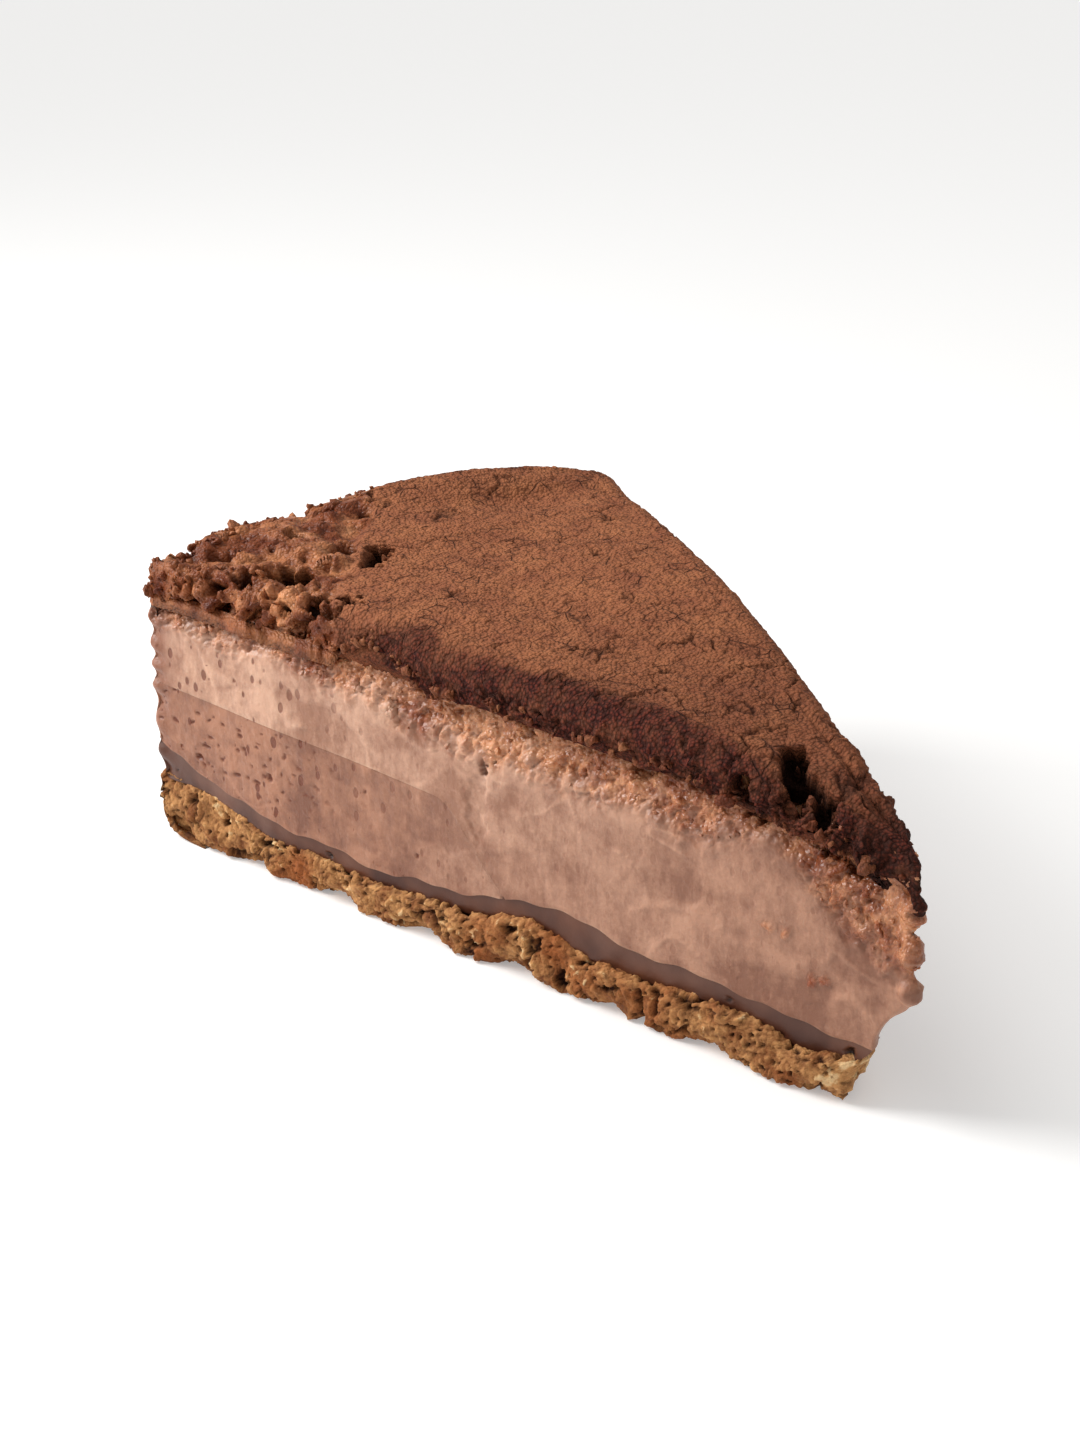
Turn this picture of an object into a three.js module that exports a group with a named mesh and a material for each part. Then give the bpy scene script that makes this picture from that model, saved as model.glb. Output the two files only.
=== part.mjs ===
// One slice of a chocolate basque cake, as it was cut.
//
// Four layers run through the slice: a biscuit crumb base, a thin sheet of ganache, a darker
// mousse that fades out half way to the point, and the light mousse with its baked, cocoa-dusted top.
// Millimetres, +Z up. The rim is at -X, the point of the slice at +X, and Z = 0 is the flat underside.
import * as THREE from 'three';

// Driving dimensions of the cake and of the cut.
const CAKE_RADIUS = 100;
const SLICES_IN_A_CAKE = 10;
const HALF_ANGLE = Math.PI / SLICES_IN_A_CAKE;
const POINT_X = 50.5;
const CROWN_HEIGHT = 34.6;
const POINT_FALL = 9.6;
const POINT_FALL_LENGTH = 17;
const POINT_FALL_POWER = 0.75;
const LAYER_GAP = 0.3;

// Mean heights of the three lower layers, and how far the darker mousse reaches towards the point.
const BASE_HEIGHT = 5;
const GANACHE_HEIGHT = 6.6;
const DARK_MOUSSE_HEIGHT = 17;
const DARK_MOUSSE_RISE = 2.2;
const DARK_MOUSSE_END = 48.4;
const DARK_MOUSSE_FULL = 57.6;
const FEATHER_EDGE = 0.5;

// Radii of the rolled top edges and of the worn bottom corner of the base at the rim.
const FRONT_ROLL = 3.4;
const BACK_ROLL = 2.2;
const RIM_ROLL = 2.6;
const BASE_RIM_ROLL = 3.4;

// The chips along the lower edge of the base: one about every 12 mm.
const CHIP_SPACING = 12.6;
const FIRST_CHIP = 85;
const CHIP_DEPTH = 2;
const BASE_BULGE = 1.5;

// How much the corners between the rim and the two cuts are rounded, seen from above.
const NEAR_CORNER = 1;
const FAR_CORNER = 4.5;

// Stations along the slice, from the rim to where the point is rounded off.
const RIM_STATIONS = 3;
const CRAG_END = 70;
const CRAG_STATIONS = 16;
const NECK_START = 24;
const MIDDLE_STATIONS = 18;
const NECK_END = 20;
const NECK_STATIONS = 2;
const TIP_STATIONS = 14;
const TIP_HALF_STEPS = 2;
const COLUMNS = 28;
const ROLL_COLUMNS = 3;

// Rows up the cut faces of each layer.
const BASE_ROWS = 5;
const GANACHE_ROWS = 2;
const DARK_MOUSSE_ROWS = 5;
const LIGHT_MOUSSE_ROWS = 12;

const HASH_FACTORS = [127.1, 311.7, 74.7, 53.3];
const HASH_SCALE = 43758.5453;

const lerp = THREE.MathUtils.lerp;
const smoothstep = THREE.MathUtils.smoothstep;

// A repeatable pseudo-random number from -1 to 1 at a whole-numbered point of space.
function latticeValue(i, j, k, seed) {
  const phase = i * HASH_FACTORS[0] + j * HASH_FACTORS[1] + k * HASH_FACTORS[2] + seed * HASH_FACTORS[3];
  const wave = Math.sin(phase) * HASH_SCALE;
  return (wave - Math.floor(wave)) * 2 - 1;
}

// Smooth noise from -1 to 1 whose lumps are about `size` millimetres across.
function lumps(point, size, seed) {
  const x = point.x / size;
  const y = point.y / size;
  const z = point.z / size;
  const i = Math.floor(x);
  const j = Math.floor(y);
  const k = Math.floor(z);
  const u = smoothstep(x - i, 0, 1);
  const v = smoothstep(y - j, 0, 1);
  const w = smoothstep(z - k, 0, 1);
  const edge = (dj, dk) => lerp(latticeValue(i, j + dj, k + dk, seed), latticeValue(i + 1, j + dj, k + dk, seed), u);
  return lerp(lerp(edge(0, 0), edge(1, 0), v), lerp(edge(0, 1), edge(1, 1), v), w);
}

// A smooth hump of height 1 at `centre`, gone about two widths away.
function bell(value, centre, width) {
  return Math.exp(-(((value - centre) / width) ** 2));
}

// A place on the slice from its distance to the cake's centre and its angle from the slice's middle line.
function place(distance, angle, height) {
  return new THREE.Vector3(POINT_X - distance * Math.cos(angle), -distance * Math.sin(angle), height);
}

function distanceFromPoint(point) {
  return Math.hypot(POINT_X - point.x, point.y);
}

function angleFromMiddle(point) {
  return Math.atan2(-point.y, POINT_X - point.x);
}

// Tops of the layers, as heights that depend only on the distance from the cake's centre.
function baseTop(distance) {
  const rimRise = 2.8 * smoothstep(distance, 79, 94);
  const humps = 1.7 * bell(distance, 45, 5) + 0.5 * bell(distance, 21, 5);
  const hollows = 0.8 * bell(distance, 67, 8) + 0.8 * bell(distance, 12, 4);
  return BASE_HEIGHT + rimRise + humps - hollows;
}

function ganacheTop(distance) {
  const rimRise = 5.4 * (Math.max(0, distance - 76) / 24) ** 1.6;
  const humps = 2.4 * bell(distance, 42, 9) + bell(distance, 24, 8);
  return GANACHE_HEIGHT + rimRise + humps - 0.9 * bell(distance, 66, 5);
}

function darkMousseTop(distance) {
  const full = DARK_MOUSSE_HEIGHT
    + DARK_MOUSSE_RISE * Math.max(0, distance - DARK_MOUSSE_FULL) / (CAKE_RADIUS - DARK_MOUSSE_FULL);
  const fade = smoothstep(distance, DARK_MOUSSE_END, DARK_MOUSSE_FULL) ** 0.75;
  return lerp(ganacheTop(distance) + LAYER_GAP + FEATHER_EDGE, full, fade);
}

function lightMousseBottom(distance) {
  const under = distance < DARK_MOUSSE_END ? ganacheTop(distance) : darkMousseTop(distance);
  return under + LAYER_GAP;
}

// The outline of the slice at one height. The two cuts end short of the point by `frontEnd` and
// `backEnd`, and a curve joins them. Points run from the rim along the front cut, round the point,
// back along the far cut, and round the rim to the start.
function stationDistances() {
  const distances = [];
  for (let i = 0; i < RIM_STATIONS; i += 1) {
    distances.push(CAKE_RADIUS - RIM_ROLL * (1 - Math.cos((Math.PI / 2) * (i / RIM_STATIONS))));
  }
  const stretches = [
    [CAKE_RADIUS - RIM_ROLL, CRAG_END, CRAG_STATIONS],
    [CRAG_END, NECK_START, MIDDLE_STATIONS],
    [NECK_START, NECK_END, NECK_STATIONS],
  ];
  for (const [start, end, count] of stretches) {
    for (let i = 0; i < count; i += 1) distances.push(lerp(start, end, i / count));
  }
  return distances;
}

const STATIONS = stationDistances();

function sliceOutline(height, frontEnd, backEnd, lastStation) {
  const points = STATIONS.slice(0, lastStation).map((distance) => place(distance, HALF_ANGLE, height));
  const farSide = STATIONS.slice(0, lastStation).map((distance) => place(distance, -HALF_ANGLE, height));
  if (lastStation === STATIONS.length) {
    for (let i = 0; i <= TIP_STATIONS; i += 1) {
      points.push(place(lerp(NECK_END, frontEnd, i / TIP_STATIONS), HALF_ANGLE, height));
      farSide.push(place(lerp(NECK_END, backEnd, i / TIP_STATIONS), -HALF_ANGLE, height));
    }
    const front = points[points.length - 1];
    const back = farSide[farSide.length - 1];
    const apex = place(0, 0, height);
    const bluntness = 0.3 * smoothstep(backEnd - frontEnd, 0, 4);
    const middle = front.clone().add(back).sub(apex.clone().multiplyScalar(2));
    const pull = apex.clone().addScaledVector(middle.setZ(0), bluntness);
    const nose = new THREE.QuadraticBezierCurve3(front, pull, back);
    for (let i = 1; i < 2 * TIP_HALF_STEPS; i += 1) points.push(nose.getPoint(i / (2 * TIP_HALF_STEPS)));
  }
  points.push(...farSide.reverse());
  for (let i = 1; i < COLUMNS; i += 1) {
    points.push(place(CAKE_RADIUS, lerp(-HALF_ANGLE, HALF_ANGLE, i / COLUMNS), height));
  }
  return points;
}

// The outward direction at each point of an outline, made longer at a corner so that both sides of
// the corner move by the same amount.
function outlineNormals(outline) {
  return outline.map((point, index) => {
    const before = outline[(index + outline.length - 1) % outline.length];
    const after = outline[(index + 1) % outline.length];
    const first = new THREE.Vector3(point.y - before.y, before.x - point.x, 0).normalize();
    const second = new THREE.Vector3(after.y - point.y, point.x - after.x, 0).normalize();
    return first.add(second).divideScalar(Math.max(0.8, 1 + first.dot(second)));
  });
}

// Rounds the corners of an outline at the rim.
function roundedCorners(outline) {
  const normals = outlineNormals(outline);
  return outline.map((point, index) => {
    const radius = point.y > 0 ? FAR_CORNER : NEAR_CORNER;
    const alongCut = CAKE_RADIUS - distanceFromPoint(point);
    const alongRim = CAKE_RADIUS * (HALF_ANGLE - Math.abs(angleFromMiddle(point)));
    const nearness = Math.max(0, 1 - (alongCut + alongRim) / radius);
    return point.clone().addScaledVector(normals[index], -0.35 * radius * nearness * nearness);
  });
}

// Joins rows of points into one closed body. The last row is closed by a sheet over `topGrid`, or
// like the first row by straight strips between the two cuts, which other layers cover.
function closedBody(rows, topGrid) {
  const positions = [];
  const triangles = [];
  const ring = rows[0].length;
  const cutPoints = ring - (COLUMNS - 1);
  const pairs = Math.ceil(cutPoints / 2);
  const hasSingleTip = cutPoints % 2 === 1;
  for (const row of rows) {
    for (const point of row) positions.push(point);
  }
  for (let row = 0; row + 1 < rows.length; row += 1) {
    for (let column = 0; column < ring; column += 1) {
      const next = (column + 1) % ring;
      const a = row * ring + column;
      const b = row * ring + next;
      triangles.push([a, b, b + ring], [a, b + ring, a + ring]);
    }
  }
  const strips = (start, facesUp) => {
    const add = (a, b, c) => triangles.push(facesUp ? [a, b, c] : [a, c, b]);
    for (let s = 0; s + 1 < pairs; s += 1) {
      const a = start + s;
      const b = start + cutPoints - 1 - s;
      if (a + 1 === b - 1 && hasSingleTip) {
        add(a, a + 1, b);
      } else {
        add(a, a + 1, b - 1);
        add(a, b - 1, b);
      }
    }
    for (let m = cutPoints; m < ring; m += 1) add(start, start + m - 1, start + m);
  };
  strips(0, false);
  const topStart = (rows.length - 1) * ring;
  if (!topGrid) {
    strips(topStart, true);
    return bodyGeometry(positions, triangles);
  }
  const index = (s, j) => {
    if (j === 0 || s === pairs - 1) return topStart + s;
    if (j === COLUMNS) return topStart + cutPoints - 1 - s;
    if (s === 0) return topStart + ring - j;
    return rows.length * ring + (s - 1) * (COLUMNS - 1) + (j - 1);
  };
  for (const line of topGrid) {
    for (const point of line) positions.push(point);
  }
  for (let s = 0; s + 1 < pairs; s += 1) {
    for (let j = 0; j < COLUMNS; j += 1) {
      if (s + 2 === pairs) {
        triangles.push([index(s, j), index(s + 1, j), index(s, j + 1)]);
      } else {
        triangles.push([index(s, j), index(s + 1, j), index(s + 1, j + 1)]);
        triangles.push([index(s, j), index(s + 1, j + 1), index(s, j + 1)]);
      }
    }
  }
  return bodyGeometry(positions, triangles);
}

function bodyGeometry(points, triangles) {
  const geometry = new THREE.BufferGeometry();
  geometry.setFromPoints(points);
  geometry.setIndex(triangles.flat());
  return geometry;
}

// Broken places: each is a short groove between two places, with its radius and its depth.
const onTop = (distance, degrees, height) => place(distance, THREE.MathUtils.degToRad(degrees), height);
const onFront = (distance, height) => place(distance, HALF_ANGLE, height);
const CAVITIES = [
  { from: onTop(75.5, 18, 32), to: onTop(71.5, 15.6, 33), radius: 1.5, depth: 4 },
  { from: onTop(84.5, 16, 32), to: onTop(80.5, 14.2, 33), radius: 1.6, depth: 3.4 },
  { from: onTop(78.5, 9, 33), to: onTop(81.5, 6.2, 33), radius: 2, depth: 4 },
  { from: onTop(81.5, 6.2, 33), to: onTop(84, 0.6, 34), radius: 1.2, depth: 2.2 },
  { from: onFront(20, 29), to: onFront(18.8, 26.8), radius: 1, depth: 3 },
  { from: onTop(18, 5, 30.6), to: onTop(13.8, 15, 28.8), radius: 1.3, depth: 4.2 },
  { from: onTop(13.8, 15, 28.8), to: onTop(9.6, 14, 27.6), radius: 1, depth: 3.2 },
  { from: onFront(11, 24.9), to: onFront(6.9, 24.2), radius: 0.9, depth: 1.4 },
  { from: onFront(83.6, 29.4), to: onFront(83.9, 26.2), radius: 1.1, depth: 1.6 },
  { from: onFront(66.2, 26.6), to: onFront(63.4, 26.1), radius: 1.3, depth: 1.3 },
  { from: onFront(51.9, 19), to: onFront(51.9, 15.5), radius: 1.8, depth: 0.5 },
];
// Knobs of mousse that stand out at the point of the slice and crumbs left standing near it.
const KNOBS = [
  { at: place(0.9, 0, 21.6), radius: 2, height: 0.9 },
  { at: place(0.9, 0, 17.7), radius: 2, height: 1 },
  { at: place(0.9, 0, 13.6), radius: 1.7, height: 0.9 },
  { at: onFront(9.4, 25.9), radius: 2, height: 0.9 },
  { at: onFront(5.7, 21.2), radius: 1.5, height: 0.6 },
  { at: onTop(97.5, 3.5, 33.5), radius: 3.4, height: 0.5 },
  { at: onTop(99, 11, 32.5), radius: 2.6, height: 0.7 },
];

function brokenPlaces(point) {
  let push = 0;
  const nearest = new THREE.Vector3();
  for (const { from, to, radius, depth } of CAVITIES) {
    new THREE.Line3(from, to).closestPointToPoint(point, true, nearest);
    push -= depth * (1 - smoothstep(nearest.distanceTo(point), 0.6 * radius, 1.5 * radius));
  }
  for (const { at, radius, height } of KNOBS) {
    push += height * (1 - smoothstep(at.distanceTo(point), 0.3 * radius, radius));
  }
  return push;
}

// How far a place lies inside the corner where the crust broke off, from 0 to 1. The break runs in a
// line from the rim to the front cut.
const BREAK_AT_RIM = onTop(99.6, -1.3, 0);
const BREAK_AT_CUT = onTop(71, 18, 0);
function cragShare(point) {
  const along = BREAK_AT_CUT.clone().sub(BREAK_AT_RIM).normalize();
  const offset = point.clone().sub(BREAK_AT_RIM);
  const inside = along.y * offset.x - along.x * offset.y;
  return smoothstep(inside + 1.4 * lumps(point, 6, 3), -0.4, 2.2) * smoothstep(point.z, 27, 30.5);
}

// Height of the baked top without its rolled edges.
function crownHeight(point) {
  const distance = distanceFromPoint(point);
  const degrees = THREE.MathUtils.radToDeg(angleFromMiddle(point));
  const fall = POINT_FALL * Math.exp(-((distance / POINT_FALL_LENGTH) ** POINT_FALL_POWER));
  const farShare = smoothstep(-degrees, -6, 16);
  const crown = lerp(-0.2, 1.1, farShare) * bell(distance, 50, 24);
  const farCorner = 0.9 * smoothstep(distance, 74, 92) * smoothstep(-degrees, 12, 18);
  const farLip = 1.6 * smoothstep(distance, 90, 97) * bell(degrees, -6, 8);
  const fold = 0.7 * smoothstep(distance, 84, 88) * (1 - smoothstep(distance, 91, 94)) * bell(degrees, -10, 4);
  const waves = 0.3 * lumps(new THREE.Vector3(point.x, point.y, 0), 13, 7);
  return CROWN_HEIGHT - fall + crown - farCorner + farLip - fold + waves;
}

// How much a rolled edge of the given radius lowers the top at a distance from that edge.
function edgeDrop(distance, radius) {
  const inward = Math.max(0, radius - distance);
  return radius - Math.sqrt(radius * radius - inward * inward);
}

function topPoint(distance, angle, width, fromFront) {
  const point = place(distance, angle, 0);
  const frontRoll = Math.min(FRONT_ROLL, 0.4 * width);
  const backRoll = Math.min(BACK_ROLL, 0.4 * width);
  const drops = [
    edgeDrop(fromFront, frontRoll),
    edgeDrop(width - fromFront, backRoll),
    edgeDrop(CAKE_RADIUS - distance, RIM_ROLL),
  ];
  return point.setZ(crownHeight(point) - Math.hypot(...drops));
}

// Distances across the top from the front cut, close together on the rolled edges.
function columnOffsets(width) {
  const frontRoll = Math.min(FRONT_ROLL, 0.4 * width);
  const backRoll = Math.min(BACK_ROLL, 0.4 * width);
  const offsets = [];
  for (let j = 0; j <= COLUMNS; j += 1) {
    const fromEdge = Math.min(j, COLUMNS - j);
    const roll = j * 2 < COLUMNS ? frontRoll : backRoll;
    const rolled = roll * (1 - Math.cos((Math.PI / 2) * Math.min(1, fromEdge / ROLL_COLUMNS)));
    const share = THREE.MathUtils.clamp((j - ROLL_COLUMNS) / (COLUMNS - 2 * ROLL_COLUMNS), 0, 1);
    const flat = lerp(frontRoll, width - backRoll, share);
    const isRolled = fromEdge < ROLL_COLUMNS;
    offsets.push(isRolled ? (j * 2 < COLUMNS ? rolled : width - rolled) : flat);
  }
  return offsets;
}

// Where the two cuts end short of the point at a height: the lower part of the point has crumbled
// away, mostly on the far side, and the mousse above stands over it.
function cutEnds(height) {
  const crumbled = 1 - smoothstep(height, 7, 13.2);
  const base = 1 - smoothstep(height, 3, 6.5);
  return [1.8 + 2.6 * crumbled + 3 * base, 1.8 + 9.5 * crumbled + 6.5 * base];
}

// How far the mousse's face stands in or out of the ideal cut. Its upper part leans back and is
// crumbly, and the lower part is nearly smooth.
function mousseFace(point) {
  const distance = distanceFromPoint(point);
  const onRim = smoothstep(distance, CAKE_RADIUS - 0.6, CAKE_RADIUS - 0.1);
  const crumbly = smoothstep(point.z, 22, 26.5) * smoothstep(distance, 4, 12);
  const lean = 1.3 * crumbly * (1 - onRim);
  const grain = 0.55 * crumbly * lumps(point, 3.4, 11) + 0.25 * lumps(point, 9, 12);
  const pleats = 0.45 * onRim * lumps(new THREE.Vector3(point.x, point.y, point.z / 6), 4.5, 13);
  return grain + pleats - lean;
}

function reliefOfLightMousse(point, normal) {
  const distance = distanceFromPoint(point);
  const slimness = smoothstep(distance, 1, 9);
  const up = smoothstep(normal.z, 0.2, 0.9);
  const crag = cragShare(point);
  const crags = crag * (1.5 * lumps(point, 5.2, 21) + 1.1 * lumps(point, 2.7, 22) - 1);
  const burntPoint = up * (1 - smoothstep(distance, 14, 24)) * 0.6 * lumps(point, 3, 23);
  return slimness * (crags + burntPoint + (1 - up) * mousseFace(point)) + brokenPlaces(point);
}

// Moves the points of the visible skin along its own normals by `relief` of the point.
function roughen(geometry, skinTriangles, relief) {
  const skin = new THREE.BufferGeometry();
  skin.setAttribute('position', geometry.getAttribute('position').clone());
  skin.setIndex(skinTriangles);
  skin.computeVertexNormals();
  const normals = skin.getAttribute('normal');
  const positions = geometry.getAttribute('position');
  const point = new THREE.Vector3();
  const normal = new THREE.Vector3();
  for (let i = 0; i < positions.count; i += 1) {
    point.fromBufferAttribute(positions, i);
    normal.fromBufferAttribute(normals, i);
    point.addScaledVector(normal, relief(point, normal));
    positions.setXYZ(i, point.x, point.y, point.z);
  }
}

// A layer that other layers cover above: rows of outlines between two heights, pushed in or out by
// `relief`, which gives millimetres for a point and its share of the layer's height.
function coveredLayer({ bottom, top, rowCount, relief, lastStation = STATIONS.length }) {
  const rows = [];
  for (let row = 0; row <= rowCount; row += 1) {
    const share = row / rowCount;
    const [frontEnd, backEnd] = cutEnds(lerp(bottom(0), top(0), share));
    const outline = sliceOutline(0, frontEnd, backEnd, lastStation);
    const rounded = roundedCorners(outline);
    const normals = outlineNormals(outline);
    const half = outline.length - (COLUMNS - 1);
    rows.push(outline.map((point, index) => {
      const station = Math.min(index, half - 1 - index);
      const ideal = station < 0 ? CAKE_RADIUS : distanceFromPoint(station === index ? point : outline[station]);
      const placed = rounded[index].setZ(lerp(bottom(ideal), top(ideal), share));
      return placed.addScaledVector(normals[index], relief(placed, share));
    }));
  }
  return closedBody(rows, null);
}

// The base: pressed biscuit crumbs. Towards the point it bulges past the cut, its lower edge is
// chipped, and its bottom corner is rounded at the rim.
function baseRelief(point, share) {
  const distance = distanceFromPoint(point);
  const height = Math.min(point.z, BASE_RIM_ROLL);
  const rimRoll = edgeDrop(height, BASE_RIM_ROLL) * smoothstep(distance, CAKE_RADIUS - 7, CAKE_RADIUS - 1);
  const chip = (0.5 + 0.5 * Math.cos((2 * Math.PI * (distance - FIRST_CHIP)) / CHIP_SPACING)) ** 3;
  const chipped = CHIP_DEPTH * chip * (1 - smoothstep(share, 0, 0.5));
  const lumpy = 0.45 * lumps(point, 4.2, 32) + 0.25 * lumps(point, 2.4, 33);
  const slimness = smoothstep(distance, 3, 12);
  const bulge = BASE_BULGE * (1 - distance / CAKE_RADIUS);
  return slimness * (bulge + lumpy - chipped) - rimRoll;
}

const crumbBase = coveredLayer({
  bottom: () => 0,
  top: baseTop,
  rowCount: BASE_ROWS,
  relief: baseRelief,
});

const ganacheLayer = coveredLayer({
  bottom: (distance) => baseTop(distance) + LAYER_GAP,
  top: ganacheTop,
  rowCount: GANACHE_ROWS,
  relief: (point) => -0.35 + 0.2 * lumps(point, 7, 41),
});

const darkMousse = coveredLayer({
  bottom: (distance) => ganacheTop(distance) + LAYER_GAP,
  top: darkMousseTop,
  rowCount: DARK_MOUSSE_ROWS,
  relief: mousseFace,
  lastStation: STATIONS.findIndex((distance) => distance < DARK_MOUSSE_END),
});

// The light mousse: cut faces in rows up to the rolled edge, and the domed top as a sheet over them.
function lightMousseGeometry() {
  const topOutline = sliceOutline(0, ...cutEnds(CROWN_HEIGHT), STATIONS.length);
  const cornerShift = roundedCorners(topOutline).map((point, index) => point.sub(topOutline[index]));
  const cutPoints = topOutline.length - (COLUMNS - 1);
  const stations = (cutPoints + 1) / 2;
  const topGrid = [];
  for (let s = 0; s < stations; s += 1) {
    const front = topOutline[s];
    const back = topOutline[cutPoints - 1 - s];
    const distance = distanceFromPoint(front);
    const frontAngle = angleFromMiddle(front);
    const width = distance * (frontAngle - angleFromMiddle(back));
    const line = columnOffsets(width).map((fromFront) => (
      topPoint(distance, frontAngle - fromFront / Math.max(distance, 0.01), width, fromFront)
    ));
    topGrid.push(line);
  }
  const edgeHeights = topOutline.map((point, index) => {
    if (index >= cutPoints) return topGrid[0][topOutline.length - index].z;
    const station = Math.min(index, cutPoints - 1 - index);
    return topGrid[station][station === index ? 0 : COLUMNS].z;
  });
  const rimLine = topGrid[0];
  const rows = [];
  for (let row = 0; row <= LIGHT_MOUSSE_ROWS; row += 1) {
    const share = row / LIGHT_MOUSSE_ROWS;
    const noseHeight = lerp(lightMousseBottom(0), edgeHeights[stations - 1], share);
    const outline = sliceOutline(0, ...cutEnds(noseHeight), STATIONS.length);
    rows.push(outline.map((point, index) => {
      const station = Math.min(index, cutPoints - 1 - index);
      const isRim = index >= cutPoints;
      const column = topOutline.length - index;
      const plan = (isRim ? rimLine[column] : point).clone().add(cornerShift[index]);
      const low = lightMousseBottom(isRim ? CAKE_RADIUS : distanceFromPoint(outline[station]));
      return new THREE.Vector3(plan.x, plan.y, lerp(low, edgeHeights[index], share));
    }));
  }
  const inner = topGrid.slice(1, stations - 1).map((line) => line.slice(1, COLUMNS));
  const geometry = closedBody(rows, inner);
  const ring = topOutline.length;
  const wallCount = LIGHT_MOUSSE_ROWS * ring * 2 * 3;
  const stripCount = (2 * (stations - 2) + 1 + (COLUMNS - 1)) * 3;
  const all = Array.from(geometry.index.array);
  const skin = all.slice(0, wallCount).concat(all.slice(wallCount + stripCount));
  roughen(geometry, skin, reliefOfLightMousse);
  return geometry;
}

function layerMesh(name, geometry, color, roughness) {
  const material = new THREE.MeshStandardMaterial({ color, roughness, metalness: 0 });
  const mesh = new THREE.Mesh(geometry, material);
  mesh.name = name;
  return mesh;
}

const slice = new THREE.Group();
slice.add(
  layerMesh('crumb_base', crumbBase, '#a97a45', 0.9),
  layerMesh('ganache_layer', ganacheLayer, '#6f544e', 0.45),
  layerMesh('dark_mousse', darkMousse, '#96705f', 0.6),
  layerMesh('light_mousse', lightMousseGeometry(), '#8d5a43', 0.75),
);

export default slice;
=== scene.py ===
from itertools import product

import bmesh
import bpy
import numpy as np
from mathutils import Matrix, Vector


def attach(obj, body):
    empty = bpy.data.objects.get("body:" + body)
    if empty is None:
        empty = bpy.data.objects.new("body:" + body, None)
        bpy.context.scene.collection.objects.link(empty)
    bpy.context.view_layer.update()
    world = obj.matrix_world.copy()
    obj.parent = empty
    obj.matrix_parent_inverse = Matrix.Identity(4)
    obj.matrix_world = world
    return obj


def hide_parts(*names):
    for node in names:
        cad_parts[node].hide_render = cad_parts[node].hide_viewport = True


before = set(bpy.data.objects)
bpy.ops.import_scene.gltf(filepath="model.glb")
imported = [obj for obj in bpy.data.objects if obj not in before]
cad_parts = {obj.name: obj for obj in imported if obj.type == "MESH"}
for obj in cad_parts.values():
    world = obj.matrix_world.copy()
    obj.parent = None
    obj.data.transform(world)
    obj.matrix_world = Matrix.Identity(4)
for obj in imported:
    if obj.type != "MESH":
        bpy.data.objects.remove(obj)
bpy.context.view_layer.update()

# The camera. It stands near the point of the slice, a little to the side of the front cut, and looks
# down at about 23 degrees. The lens is given for a 36 mm sensor along the picture's long side.
CAMERA_AZIMUTH = np.radians(57.31)
CAMERA_ELEVATION = np.radians(22.61)
CAMERA_DISTANCE = 0.2584
CAMERA_AIM = Vector((-0.00437, -0.00499, 0.02235))
CAMERA_LENS = 62

camera_back = Vector((
    np.sin(CAMERA_AZIMUTH) * np.cos(CAMERA_ELEVATION),
    -np.cos(CAMERA_AZIMUTH) * np.cos(CAMERA_ELEVATION),
    np.sin(CAMERA_ELEVATION),
))
camera = bpy.data.objects.new("camera", bpy.data.cameras.new("camera"))
camera.location = CAMERA_AIM + CAMERA_DISTANCE * camera_back
camera.rotation_euler = camera_back.to_track_quat("Z", "Y").to_euler()
camera.data.lens = CAMERA_LENS
camera.data.sensor_width = 36
bpy.context.scene.collection.objects.link(camera)
bpy.context.scene.camera = camera

# The crumb base: biscuit crumbs pressed into the tin and baked. It runs under the whole slice, bulges
# past the cut towards the point, and its lower edge is chipped.

# Sizes are in millimetres and repeat the part's own, so that each layer lies where its solid lies. A
# step is the space between neighbouring points of a mesh, a place along the slice is the distance from
# the cake's centre, and the last number given to a noise is its seed.
MM = 0.001
CAKE_RADIUS = 100.0
SLICES_IN_A_CAKE = 10
HALF_ANGLE = np.pi / SLICES_IN_A_CAKE
POINT_X = 50.5
CUT_END = 1.8
NEAR_CORNER = 1.0
FAR_CORNER = 4.5
CORNER_CUT = 0.35
WIDEST_INSET = 0.22
NOSE_POINTS = 13
BASE_HEIGHT = 5
BASE_RIM_RISE = 2.8
BASE_RIM_ROLL = 3.4
BASE_BULGE = 1.5
BASE_EDGE = 0.7
FOOT_INSET = 2.5
LEDGE_NEAR, LEDGE_FAR = 0.9, 3.4
CHIP_SPACING = 12.6
FIRST_CHIP = 85.0
CHIP_DEPTH = 2.0
LARGE_CRUMB = 3.1
SMALL_CRUMB = 1.3
KNOB_SIZE, KNOB_RELIEF = 0.95, 0.17
SWELL_SIZE, SWELL_RELIEF = 2.6, 0.3
HOLE_SIZE, HOLE_DEPTH = 2.2, 0.9
PORE_SIZE, PORE_DEPTH = 0.8, 0.4
SEAM_DEPTH = 0.4
CRACK_PLACE, CRACK_WIDTH, CRACK_DEPTH = 30.6, 0.45, 1.5
CREAM_PLACE, CREAM_WIDTH = 8.6, 1.5
BASE_STEP = 0.17
SIDE_ROWS = 34
EDGE_ROWS = 5
LEDGE_ROWS = 10

# Factors that make the noises: those of the repeatable numbers, the seeds' distance between the three
# parts of a slope, the gains that bring a noise to about 1, and the bend and sizes of the crumbly one.
# TINY keeps a division from failing.
HASH_FACTORS = (127.1, 311.7, 74.7, 53.3)
HASH_SCALE = 43758.5453
SLOPE_SEEDS = 17.3
GRAIN_GAIN = 1.6
CRUMBLE_GAIN = 2.2
CRUMBLE_LEVEL = 0.55
CRUMBLE_BEND = 0.4
CRUMBLE_SIZES = 3
TINY = 1e-9


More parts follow.
